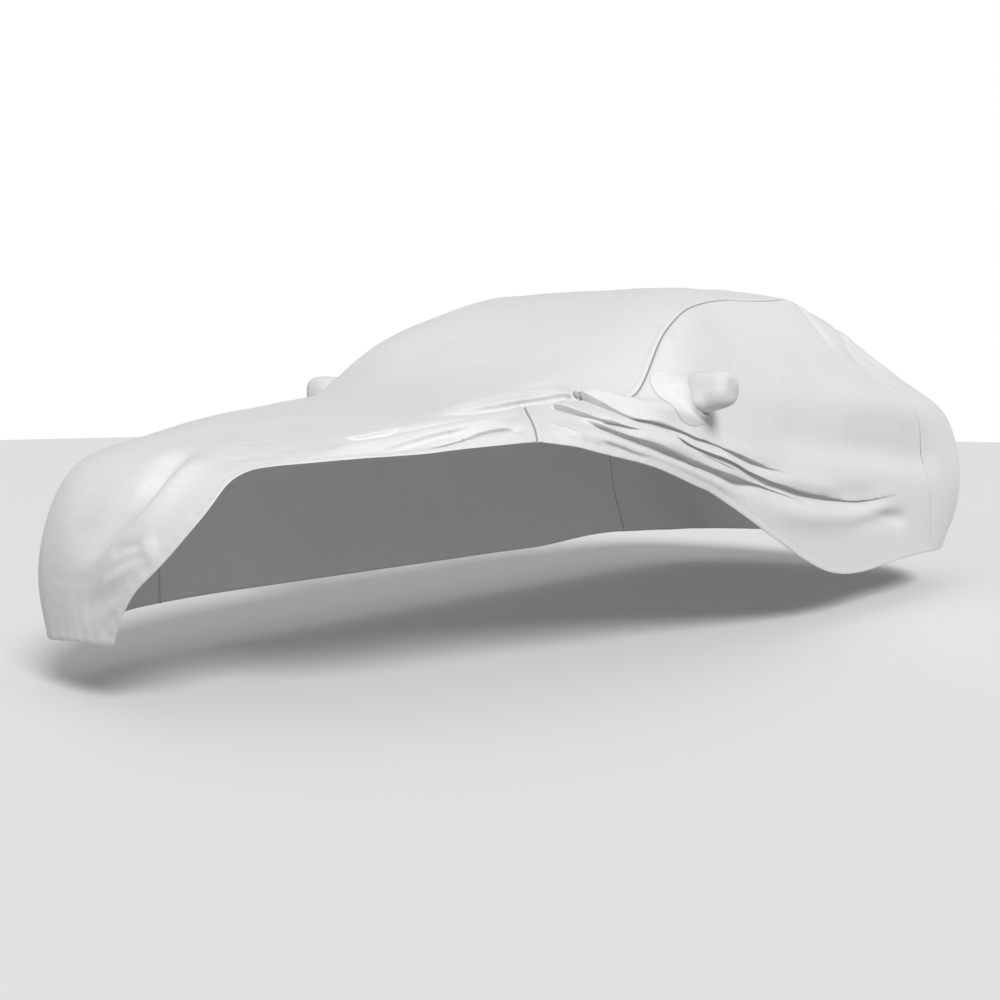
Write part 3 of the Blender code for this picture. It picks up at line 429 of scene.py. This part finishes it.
def outward(surface, station, level):
    """Unit normals, pointing out of the cover, of a surface function."""
    forward = surface(np.minimum(station + PROBE, LAST), level)
    backward = surface(np.maximum(station - PROBE, 0), level)
    rightward = surface(station, np.minimum(level + PROBE, RIGHT_HEM))
    leftward = surface(station, np.maximum(level - PROBE, LEFT_HEM))
    return unit(np.cross(forward - backward, leftward - rightward)) * -1


def line_places(line, step):
    """(station, level) places at even steps along the natural curve through a line's points."""
    line = np.array(line, float)
    corners = smooth_surface(line[:, 0], line[:, 1])
    knots = np.concatenate(([0], np.cumsum(np.linalg.norm(np.diff(corners, axis=0), axis=1))))
    count = max(3, int(knots[-1] / step) + 1)
    return natural_weights(knots, np.linspace(0, knots[-1], count)) @ line


def measured(places):
    """Points of the unfolded cloth at places along a line, and the run of cloth up to each."""
    points = smooth_surface(places[:, 0], places[:, 1])
    return points, np.concatenate(([0], np.cumsum(np.linalg.norm(np.diff(points, axis=0), axis=1))))


def nearest_on(path, run, points):
    """Offset of each point from a path, the run along it there, and its direction there."""
    step = path[1:] - path[:-1]
    to_points = points[:, None] - path[:-1]
    t = np.clip((to_points * step).sum(2) / (step ** 2).sum(1), 0, 1)
    gap = to_points - t[..., None] * step
    nearest = (gap ** 2).sum(2).argmin(1)
    rows = np.arange(len(nearest))
    length = run[nearest] + t[rows, nearest] * np.diff(run)[nearest]
    return gap[rows, nearest], length, unit(step)[nearest]


def ease(x):
    """Smooth rise from 0 to 1 as x goes from 0 to 1."""
    x = np.clip(x, 0, 1)
    return x * x * (3 - 2 * x)


def fold_shift(points, normals, rise, step, soft, lean, width, fade_in, fade_out, line):
    """How far and which way one fold or crease moves each point of the cloth."""
    shift = np.zeros(points.shape)
    path, run = measured(line_places(line, PATH_STEP / (2 if step else 1)))
    reach = width * FOLD_REACH
    near = np.nonzero(np.all((points > path.min(0) - reach) & (points < path.max(0) + reach), axis=1))[0]
    for part in np.array_split(near, len(near) // BATCH + 1):
        if not len(part):
            continue
        gap, length, heading = nearest_on(path, run, points[part])
        leftward = np.cross(normals[part], heading)
        distance = np.linalg.norm(gap, axis=1)
        fade = ease(length / fade_in) * ease((run[-1] - length) / fade_out)
        profile = np.exp(-(distance / width) ** 2) * ease(FOLD_FADE * (1 - distance / reach))
        side = (gap * leftward).sum(1) * math.copysign(1, step)
        edge = np.tanh(side / (STEEP * (1 + SPREAD * length)))
        height = rise + abs(step) * np.where(side > 0, np.tanh(side / max(STEEP, soft)), HOLLOW * edge)
        fold_over = lean - LAP * step * edge * np.exp(-(side / LAP_REACH) ** 2)
        move = height[:, None] * normals[part] + fold_over[:, None] * leftward
        shift[part] = move * (fade * profile)[:, None]
    return shift


class Trace:
    """Samples along lines on the cloth, searched for the one nearest to a point."""

    def __init__(self, lines):
        places, runs, headings = [], [], []
        for line in lines:
            path, run = measured(line_places(line, TRACE_STEP))
            places.append(path)
            runs.append(run)
            headings.append(unit(np.gradient(path, axis=0)))
        self.points = np.concatenate(places)
        self.runs = np.concatenate(runs)
        self.headings = np.concatenate(headings)
        self.tree = KDTree(len(self.points))
        for number, point in enumerate(self.points):
            self.tree.insert(point, number)
        self.tree.balance()

    def near(self, points):
        """Distance from each point to the lines, and the run along them there."""
        which = np.array([self.tree.find(point)[1] for point in points])
        off = points - self.points[which]
        along = (off * self.headings[which]).sum(1)
        away = np.sqrt(np.maximum((off ** 2).sum(1) - along ** 2, 0))
        away = np.where(np.abs(along) < 2 * TRACE_STEP, away, np.linalg.norm(off, axis=1))
        return away, self.runs[which] + along


def mirrored(line):
    """The same line on the other side of the cover."""
    return tuple((station, RIGHT_HEM - level) for station, level in line)


def side_place(x, z, left):
    """Station and level of the side's points at the given x and z, by repeated correction."""
    station = np.full(len(x), float(STATION["screen_low"]))
    level = np.full(len(x), SIDE_LEVEL)
    for _ in range(PLACE_ROUNDS):
        here = smooth_surface(station, level)
        by_station = (smooth_surface(station + PROBE, level) - here) / PROBE
        by_level = (smooth_surface(station, level + PROBE) - here) / PROBE
        dx, dz = x - here[:, 0], z - here[:, 2]
        scale = by_station[:, 0] * by_level[:, 2] - by_station[:, 2] * by_level[:, 0]
        station = station + (dx * by_level[:, 2] - dz * by_level[:, 0]) / scale
        level = level + (dz * by_station[:, 0] - dx * by_station[:, 2]) / scale
    return station, (level if left else RIGHT_HEM - level)


def oval(turn, half_x, half_z, squareness):
    """Offsets in x and z round an oval; above a squareness of 2 its corners fill out."""
    power = 2 / squareness
    x = half_x * np.sign(np.cos(turn)) * np.abs(np.cos(turn)) ** power
    z = half_z * np.sign(np.sin(turn)) * np.abs(np.sin(turn)) ** power
    return x, z


def mouth_line(left):
    """The mirror mouth's edge as a closed line of places."""
    x, z = oval(np.linspace(0, math.tau, MOUTH_POINTS), MOUTH_HALF_X, MOUTH_HALF_Z, 2)
    return tuple(zip(*side_place(MOUTH_X + x, MOUTH_Z + z, left)))


HEMS = Trace((LIFTED_HEM_FRONT, LIFTED_HEM_SIDE, (REAR_SEAM[0], (LAST, 0)),
              ((LAST, 0), (LAST, RIGHT_HEM)), ((0, RIGHT_HEM), (LAST, RIGHT_HEM)),
              ((0, FRONT_HEM_LEVELS[0]), (0, RIGHT_HEM))))
SEAMS = Trace((WING_SEAM, PILLAR_SEAM, REAR_SEAM, mirrored(WING_SEAM_FOOT), RIGHT_PILLAR_SEAM,
               mirrored(REAR_SEAM)))
MOUTHS = Trace((mouth_line(True), mouth_line(False)))
LIFTED_HEMS = Trace((LIFTED_HEM_FRONT, LIFTED_HEM_SIDE))


def hem_rise(away, run):
    """Height of the stitched hem and its gathers, by the distance from its edge."""
    band = BAND_RISE * ease((HEM_BAND - away) / BAND_EDGE + .5)
    groove = -BAND_RISE * np.exp(-((away - HEM_BAND) / BAND_EDGE) ** 2)
    turn = np.clip(1 - away / ROLL_WIDTH, 0, 1)
    roll = -ROLL_DEPTH * (1 - np.sqrt(1 - turn ** 2))
    drift = sum(size * np.sin(run * rate + phase) for size, rate, phase in GATHER_DRIFT)
    wave = np.sin(run * math.tau / GATHER_LENGTH + drift)
    gather = GATHER_RISE * wave * np.exp(-away / GATHER_REACH) * ease(away / GATHER_START)
    return band + groove + roll + gather


def seam_rise(away, depth, ridge):
    """Depth of a seam and height of the ridge beside it."""
    beside = ridge * np.exp(-((away - RIDGE_AWAY) / RIDGE_WIDTH) ** 2)
    return beside - depth * np.exp(-(away / SEAM_WIDTH) ** 2)


def finished(station, level):
    """Points of the finished cloth, and how far each lies from the nearest seam and mirror mouth."""
    points = smooth_surface(station, level)
    normals = outward(smooth_surface, station, level)
    shift = np.zeros(points.shape)
    for _, rise, lean, width, fade_in, fade_out, line in FOLDS:
        shift += fold_shift(points, normals, rise, 0, 0, lean, width, fade_in, fade_out, line)
    for _, rise, step, soft, width, fade_in, fade_out, line in CREASES:
        shift += fold_shift(points, normals, rise, step, soft, 0, width, fade_in, fade_out, line)
    lifted, _ = LIFTED_HEMS.near(points)
    calm = 1 - HEM_CALM * np.exp(-(lifted / HEM_HOLD) ** 2)
    hem, hem_run = HEMS.near(points)
    seam, _ = SEAMS.near(points)
    mouth, _ = MOUTHS.near(points)
    along, over = cloth_place(station, level)
    rise = hem_rise(hem, hem_run)
    rise += seam_rise(seam, SEAM_DEPTH, SEAM_RIDGE) + seam_rise(mouth, MOUTH_DEPTH, 0)
    for height, by_along, by_over, phase in WAVES:
        wave = np.sin((along * by_along + over * by_over) * math.tau + phase)
        rise += height * wave * ease(hem / WAVE_HOLD)
    return points + shift * calm[:, None] + normals * rise[:, None], seam, mouth


def graded(count, *bends):
    """count + 1 places from 0 to 1; each bend is a (share of the steps, place) pair."""
    steps, places = zip((0, 0), *bends, (1, 1))
    return np.interp(np.linspace(0, 1, count + 1), steps, places)


def spaced(line, shares):
    """A line's (station, level) places at the given shares of its length."""
    places = line_places(line, PATH_STEP / 2)
    _, run = measured(places)
    return np.stack([np.interp(shares * run[-1], run, places[:, axis]) for axis in (0, 1)], 1)


def cut(line, share):
    """The two parts of a line, before and after a share of its length, as closely placed points."""
    before, after = np.linspace(0, share, CUT_STEPS), np.linspace(share, 1, CUT_STEPS)
    return tuple(map(tuple, spaced(line, before))), tuple(map(tuple, spaced(line, after)))


def block(front, back, left, right, r, c):
    """Grid of (station, level) places blended between the lines at its four sides."""
    front, back, left, right = spaced(front, c), spaced(back, c), spaced(left, r), spaced(right, r)
    r, c = r[:, None, None], c[None, :, None]
    sides = (1 - c) * left[:, None] + c * right[:, None] + (1 - r) * front[None] + r * back[None]
    corners = (1 - r) * ((1 - c) * front[0] + c * front[-1]) + r * ((1 - c) * back[0] + c * back[-1])
    return sides - corners


def welded(grids):
    """Places and outward-facing quads of grids that share their border places."""
    places, quads, start = [], [], 0
    for grid in grids:
        rows, columns = grid.shape[:2]
        ids = start + np.arange(rows * columns).reshape(rows, columns)
        cells = np.stack((ids[:-1, :-1], ids[1:, :-1], ids[1:, 1:], ids[:-1, 1:]), -1)
        quads.append(cells.reshape(-1, 4))
        places.append(grid.reshape(-1, 2))
        start += rows * columns
    places = np.concatenate(places)
    rounded = places.round(WELD_DIGITS)
    _, first, which = np.unique(rounded, axis=0, return_index=True, return_inverse=True)
    return places[first], which.ravel()[np.concatenate(quads)]


def centre_places():
    """Places and quads of the centre panel: nose, cabin and boot."""
    nose, cabin, boot = graded(*NOSE_ROWS), graded(*CABIN_ROWS), graded(*BOOT_ROWS)
    left, middle, right = graded(*LEFT_WING_COLUMNS), graded(*MIDDLE_COLUMNS), graded(*RIGHT_COLUMNS)
    front = tuple((0, level) for level in FRONT_HEM_LEVELS)
    cowl = WING_SEAM[-1], mirrored(WING_SEAM)[-1]
    rails = (QUARTER, LEFT_RAIL), (QUARTER, RIGHT_RAIL)
    rear = tuple((LAST, level) for level in (LEFT_HEM, LEFT_RAIL, RIGHT_RAIL, RIGHT_HEM))
    back_left, back_right = (rails[0], rear[1]), (rails[1], rear[2])
    right_wing, right_rear = mirrored(WING_SEAM_FOOT)[::-1], mirrored(REAR_SEAM)[::-1]
    return welded((
        block(front[:2], WING_SEAM, LIFTED_HEM_FRONT, NOSE_FOLD_LINE, nose, left),
        block(front[1:3], cowl, NOSE_FOLD_LINE, RIGHT_BONNET_LINE, nose, middle),
        block(front[2:], right_wing, RIGHT_BONNET_LINE, (front[3], right_wing[-1]), nose, right),
        block(cowl, rails, PILLAR_SEAM, RIGHT_PILLAR_SEAM, cabin, middle),
        block(REAR_SEAM, rear[:2], (REAR_SEAM[0], rear[0]), back_left, boot, graded(*LEFT_BOOT_COLUMNS)),
        block(rails, rear[1:3], back_left, back_right, boot, middle),
        block(right_rear, rear[2:], back_right, (right_rear[-1], rear[3]), boot, right),
    ))


def side_places(left):
    """Places and quads of a side panel, its mirror mouth cut out."""
    if left:
        along = graded(*LEFT_SIDE_ROWS)
        front_low, front_high = cut(WING_SEAM, WING_PART)
        back_low, back_high = cut(REAR_SEAM, REAR_PART)
        folds = (front_high[0], *MAIN_FOLD_LINE, back_high[0])
        grids = (
            block(front_low, back_low, LIFTED_HEM_SIDE, folds, along, graded(*LEFT_LOW_COLUMNS)),
            block(front_high, back_high, folds, PILLAR_SEAM, along, graded(*LEFT_HIGH_COLUMNS)),
        )
    else:
        wing, rear = mirrored(WING_SEAM_FOOT)[::-1], mirrored(REAR_SEAM)[::-1]
        grids = (block(wing, rear, RIGHT_PILLAR_SEAM, (wing[-1], rear[-1]), graded(*RIGHT_SIDE_ROWS),
                       graded(*RIGHT_SIDE_COLUMNS)),)
    places, quads = welded(grids)
    flat = smooth_surface(*places.T)
    off = (flat[:, [0, 2]] - (MOUTH_X, MOUTH_Z)) / (MOUTH_HALF_X, MOUTH_HALF_Z)
    radius = np.linalg.norm(off, axis=1)
    quads = quads[(radius[quads] > 1).any(1)]
    edge = np.zeros(len(places), bool)
    edge[quads] = True
    edge &= radius <= 1
    x = MOUTH_X + off[edge, 0] / radius[edge] * MOUTH_HALF_X
    z = MOUTH_Z + off[edge, 1] / radius[edge] * MOUTH_HALF_Z
    places[edge] = np.stack(side_place(x, z, left), 1)
    return places, quads


def only_used(places, quads):
    """The places that the quads use, and the quads renumbered to them."""
    used, quads = np.unique(quads, return_inverse=True)
    return places[used], quads.reshape(-1, 4)


def vertex_normals(points, quads):
    """Unit normals at the points of a surface of quads."""
    corners = points[quads]
    face = np.cross(corners[:, 2] - corners[:, 0], corners[:, 3] - corners[:, 1])
    normals = np.zeros(points.shape)
    for k in range(4):
        np.add.at(normals, quads[:, k], face)
    return unit(normals)


def border_edges(quads):
    """Directed edges that only one quad uses."""
    edges = np.concatenate([quads[:, [k, (k + 1) % 4]] for k in range(4)])
    size = quads.max() + 1
    forward = edges[:, 0] * size + edges[:, 1]
    backward = edges[:, 1] * size + edges[:, 0]
    return edges[~np.isin(forward, backward)]


def shell(points, quads):
    """Vertices and faces of the closed sheet under a surface of quads."""
    normals = vertex_normals(points, quads)
    rim = border_edges(quads)
    count = len(points)
    inner = quads[:, ::-1] + count
    side = np.stack((rim[:, 1], rim[:, 0], rim[:, 0] + count, rim[:, 1] + count), 1)
    return np.concatenate((points, points - normals * SHOWN_SHEET)), np.concatenate((quads, inner, side))


def set_back(points, quads, gap):
    """Draws the border in by half the gap that parts two panels."""
    middle = points[quads].mean(1)
    border = np.zeros(len(points), bool)
    border[border_edges(quads)] = True
    pull = np.zeros(points.shape)
    weight = np.zeros(len(points))
    for k in range(4):
        np.add.at(pull, quads[:, k], middle)
        np.add.at(weight, quads[:, k], 1)
    inward = pull[border] / weight[border][:, None] - points[border]
    moved = points.copy()
    moved[border] += unit(inward) * gap[border][:, None] / 2
    return moved


def add_piece(node, points, quads, cloth_places, seam):
    """One closed sheet that stands for a node, with its cloth coordinates and seam distances."""
    vertices, faces = shell(points, quads)
    mesh = bpy.data.meshes.new(node)
    mesh.from_pydata((vertices - ORIGIN).tolist(), [], faces.tolist())
    mesh.update()
    mesh.shade_smooth()
    mesh.set_sharp_from_angle(angle=EDGE_ANGLE)
    corners = np.zeros(len(mesh.loops), int)
    mesh.loops.foreach_get("vertex_index", corners)
    layer = mesh.uv_layers.new(name="cloth")
    layer.data.foreach_set("uv", np.concatenate((cloth_places, cloth_places))[corners].ravel())
    attribute = mesh.attributes.new("seam_away", "FLOAT", "POINT")
    attribute.data.foreach_set("value", np.concatenate((seam, seam)))
    piece = bpy.data.objects.new(node + "_cloth", mesh)
    bpy.context.scene.collection.objects.link(piece)
    piece.data.materials.append(KNIT)
    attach(piece, "root")
    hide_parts(node)
    return piece


def add_panel(node, places, quads):
    """A panel from its places on the cloth, set back a little from its neighbours."""
    places, quads = only_used(places, quads)
    station, level = places.T
    points, seam, mouth = finished(station, level)
    points = set_back(points, quads, np.where(mouth < MOUTH_HOLD, 0, SEAM_GAP))
    return add_piece(node, points, quads, np.stack(cloth_place(station, level), 1), seam)


def pocket_rows(shares):
    """Rows of POCKET_RINGS at places between them, by curves that never overshoot."""
    table = np.array(POCKET_RINGS)
    at = shares * (len(table) - 1)
    k = np.minimum(at.astype(int), len(table) - 2)
    t = (at - k)[:, None]
    spans = np.diff(table, axis=0)
    slopes = np.concatenate((spans[:1], even_slope(spans[:-1], spans[1:]), spans[-1:]))
    start = table[k] * (1 + 2 * t) + slopes[k] * t
    end = table[k + 1] * (3 - 2 * t) - slopes[k + 1] * (1 - t)
    return start * (1 - t) ** 2 + end * t ** 2


def add_pocket(node, left):
    """A mirror pocket: rings of cloth out from its mouth, closed at the end."""
    sign = 1 if left else -1
    steps = POCKET_COLUMNS
    turn = math.pi + np.arange(steps) * math.tau / steps
    shares = graded(*POCKET_ROWS)
    rib_rise, rib_count, rib_twist, twists, rib_place, rib_spread = POCKET_RIBS
    ribs = rib_rise * np.sin(turn * rib_count + rib_twist * np.sin(turn * twists))
    rings, cloth_places = [], []
    for share, row in zip(shares, pocket_rows(shares)):
        stand_off, upright, place, centre_x, centre_z, half_x, half_z, squareness = row
        if not rings:
            half_x, half_z = half_x - MOUTH_CLEARANCE, half_z - MOUTH_CLEARANCE
        x, z = oval(turn, half_x, half_z, squareness)
        x, z = x + centre_x, z + centre_z
        if upright < 1:
            side = finished(*side_place(x, z, left))[0]
            foot = max(0, 1 - share * POCKET_FOOT)
            x, z = x + (side[:, 0] - x) * foot, z + (side[:, 2] - z) * foot
            y = (side[:, 1] * sign + stand_off) * (1 - upright) + place * upright
        else:
            y = np.full(steps, place)
        rib = ribs * math.exp(-((share - rib_place) / rib_spread) ** 2)
        x, z = x + np.cos(turn) * rib, z + np.sin(turn) * rib
        rings.append(np.stack((x, y * sign, z), 1))
        cloth_places.append(np.stack((turn * POCKET_ROUND, np.full(steps, share * POCKET_LENGTH)), 1))
    points = np.array(rings).reshape(-1, 3)
    ids = np.arange(len(points)).reshape(-1, steps)
    after = np.roll(ids, -1, 1)
    quads = np.stack((ids[:-1], after[:-1], after[1:], ids[1:]), -1).reshape(-1, 4)
    if not left:
        quads = quads[:, ::-1]
    normals = vertex_normals(points, quads)
    start, slope = POCKET_FREE
    free = ease((np.repeat(shares, steps) - start) / slope)
    for depth, reach, (x, place, z) in POCKET_HOLLOWS:
        away = np.linalg.norm(points - (x, place * sign, z), axis=1)
        points = points - normals * (depth * free * np.exp(-(away / reach) ** 2))[:, None]
    seam = np.repeat(shares * POCKET_LENGTH + POCKET_SEAM, steps)
    return add_piece(node, points, quads, np.concatenate(cloth_places), seam)


# The knit: upright wales, short broken stitches across them and streaks of tone along them.
WALE = .0024                   # spacing of the wales,
STITCH = .0016                 # and of the stitches
STITCH_HEIGHT = .6             # against the height of a wale
BROKEN = 260                   # patches in each metre, in which the stitches rise and fade
STREAKS = (75, 5, 1)           # streaks in each metre along and over the cloth, and through it
STREAK_DETAIL = 3
STREAK_SPAN = (.3, .7)         # the part of the streaks' noise that the tones span
CLOTH_TONES = (.785, .825)
WALE_SHADE = .09                # painted shade and highlight: share by which the raised wales are lighter, and the gaps between them darker
BLUENESS = 1.012               # blue against red and green
SEAM_SHADE_SPAN = (.0012, .0055)     # distances from a seam between which the painted shade along it fades out
SEAM_SHADE_TONE = .42                # the cloth's share of light in the painted shade along a seam
RELIEF, RELIEF_HEIGHT = .65, .0004
CLOTH_SHINE = {"Roughness": .55, "Specular IOR Level": .25, "Sheen Weight": .25, "Sheen Roughness": .5}

FLOOR_SIZE = 60
FLOOR_LOOK = {"Base Color": (.86, .86, .86, 1), "Roughness": .8}
SURROUND = .33                 # light from all round, against the plain white behind the cover
# name, direction in which it shines, width in degrees, strength
SUNS = (
    ("overhead", (0, 0, -1), 80, .25),
    ("key", (-.44, -.68, -.60), 20, 2.5),
    ("front", (-.97, .2, -.02), 40, .45),
)
CAMERA_PLACE = (3.5, 3.35, .98)    # measured as the sections are
CAMERA_TURN = math.radians(217)    # counted from forward towards the left
CAMERA_TILT = math.radians(-4.05)
CAMERA_LENS, CAMERA_SENSOR = 48.6, 36


def fill(tree, node, inputs):
    """Fills a node's inputs: links a socket, and sets anything else as the input's own value."""
    for name, value in inputs.items():
        if isinstance(value, bpy.types.NodeSocket):
            tree.links.new(value, node.inputs[name])
        else:
            node.inputs[name].default_value = value


def add_node(tree, kind, inputs, **settings):
    """A node with its inputs and its settings."""
    node = tree.nodes.new(kind)
    for name, value in settings.items():
        setattr(node, name, value)
    fill(tree, node, inputs)
    return node


def arithmetic(tree, operation, *values):
    """The result of a math node on numbers and sockets."""
    return add_node(tree, "ShaderNodeMath", dict(enumerate(values)), operation=operation).outputs[0]


def ripples(tree, place, spacing):
    """Waves at an even spacing along one axis of the cloth."""
    return arithmetic(tree, "SINE", arithmetic(tree, "MULTIPLY", place, math.tau / spacing))


def mapped(tree, value, span, result, kind="LINEAR"):
    """A value carried from one span of numbers onto another."""
    inputs = {"Value": value, "From Min": span[0], "From Max": span[1], "To Min": result[0],
              "To Max": result[1]}
    return add_node(tree, "ShaderNodeMapRange", inputs, interpolation_type=kind).outputs[0]


def knit_material():
    """White ribbed stretch knit, with painted shade along its seams and in the gaps of its knit."""
    material = bpy.data.materials.new("knit")
    material.use_nodes = True
    tree = material.node_tree
    cloth = add_node(tree, "ShaderNodeUVMap", {}, uv_map="cloth").outputs["UV"]
    along, over, _ = add_node(tree, "ShaderNodeSeparateXYZ", {0: cloth}).outputs
    broken = add_node(tree, "ShaderNodeTexNoise", {"Vector": cloth, "Scale": BROKEN})
    stitch = arithmetic(tree, "MULTIPLY", ripples(tree, over, STITCH), broken.outputs["Fac"])
    height = arithmetic(tree, "MULTIPLY_ADD", stitch, STITCH_HEIGHT, ripples(tree, along, WALE))
    stretched = add_node(tree, "ShaderNodeMapping", {"Vector": cloth, "Scale": STREAKS}).outputs[0]
    streak = add_node(tree, "ShaderNodeTexNoise",
                      {"Vector": stretched, "Scale": 1, "Detail": STREAK_DETAIL})
    tone = mapped(tree, streak.outputs["Fac"], STREAK_SPAN, CLOTH_TONES)
    # painted shade along the seams: the colour darkens the nearer a seam lies
    seam = add_node(tree, "ShaderNodeAttribute", {}, attribute_name="seam_away").outputs["Fac"]
    seam_shade = mapped(tree, seam, SEAM_SHADE_SPAN, (SEAM_SHADE_TONE, 1), "SMOOTHSTEP")
    # painted shade in the knit: the colour follows its relief, lighter on the wales and darker in the
    # gaps, times the seams' painted shade
    painted_shade = arithmetic(tree, "MULTIPLY", seam_shade, arithmetic(tree, "MULTIPLY_ADD", height, WALE_SHADE, 1))
    shade = arithmetic(tree, "MULTIPLY", tone, painted_shade)
    blue = arithmetic(tree, "MULTIPLY", shade, BLUENESS)
    colour = add_node(tree, "ShaderNodeCombineColor", {0: shade, 1: shade, 2: blue}).outputs[0]
    relief = {"Height": height, "Strength": RELIEF, "Distance": RELIEF_HEIGHT}
    normal = add_node(tree, "ShaderNodeBump", relief).outputs[0]
    fill(tree, tree.nodes["Principled BSDF"], {"Base Color": colour, "Normal": normal, **CLOTH_SHINE})
    return material


def add_floor():
    """The white floor, which throws no light back onto the cloth."""
    material = bpy.data.materials.new("floor")
    material.use_nodes = True
    tree = material.node_tree
    fill(tree, tree.nodes["Principled BSDF"], FLOOR_LOOK)
    bpy.ops.mesh.primitive_plane_add(size=FLOOR_SIZE, location=(0, 0, -ORIGIN[2]))
    floor = bpy.context.object
    floor.name = "floor"
    floor.data.materials.append(material)
    floor.visible_diffuse = False


def add_sun(name, towards, width, strength):
    """A broad, even light that shines along a direction."""
    light = bpy.data.lights.new(name, "SUN")
    light.angle = math.radians(width)
    light.energy = strength
    lamp = bpy.data.objects.new(name, light)
    lamp.rotation_euler = Vector(towards).to_track_quat("-Z", "Y").to_euler()
    bpy.context.scene.collection.objects.link(lamp)


def add_world():
    """Plain white to look at, and a weaker white light from all round."""
    world = bpy.data.worlds.new("studio")
    world.use_nodes = True
    tree = world.node_tree
    seen = add_node(tree, "ShaderNodeLightPath", {}).outputs["Is Camera Ray"]
    strength = arithmetic(tree, "MULTIPLY_ADD", seen, 1 - SURROUND, SURROUND)
    fill(tree, tree.nodes["Background"], {"Color": (1, 1, 1, 1), "Strength": strength})
    bpy.context.scene.world = world


def add_camera():
    camera = bpy.data.cameras.new("camera")
    camera.lens = CAMERA_LENS
    camera.sensor_width = CAMERA_SENSOR
    camera.dof.use_dof = False
    holder = bpy.data.objects.new("camera", camera)
    holder.location = Vector(CAMERA_PLACE) - Vector(ORIGIN)
    level = math.cos(CAMERA_TILT)
    ahead = Vector((math.cos(CAMERA_TURN) * level, math.sin(CAMERA_TURN) * level, math.sin(CAMERA_TILT)))
    holder.rotation_euler = ahead.to_track_quat("-Z", "Y").to_euler()
    bpy.context.scene.collection.objects.link(holder)
    bpy.context.scene.camera = holder


KNIT = knit_material()
centre = add_panel("centre_panel", *centre_places())
left_side = add_panel("side_panel_left", *side_places(True))
right_side = add_panel("side_panel_right", *side_places(False))
left_pocket = add_pocket("mirror_pocket_left", True)
right_pocket = add_pocket("mirror_pocket_right", False)

add_floor()
add_world()
for sun in SUNS:
    add_sun(*sun)
add_camera()
bpy.context.scene.view_settings.view_transform = "Standard"
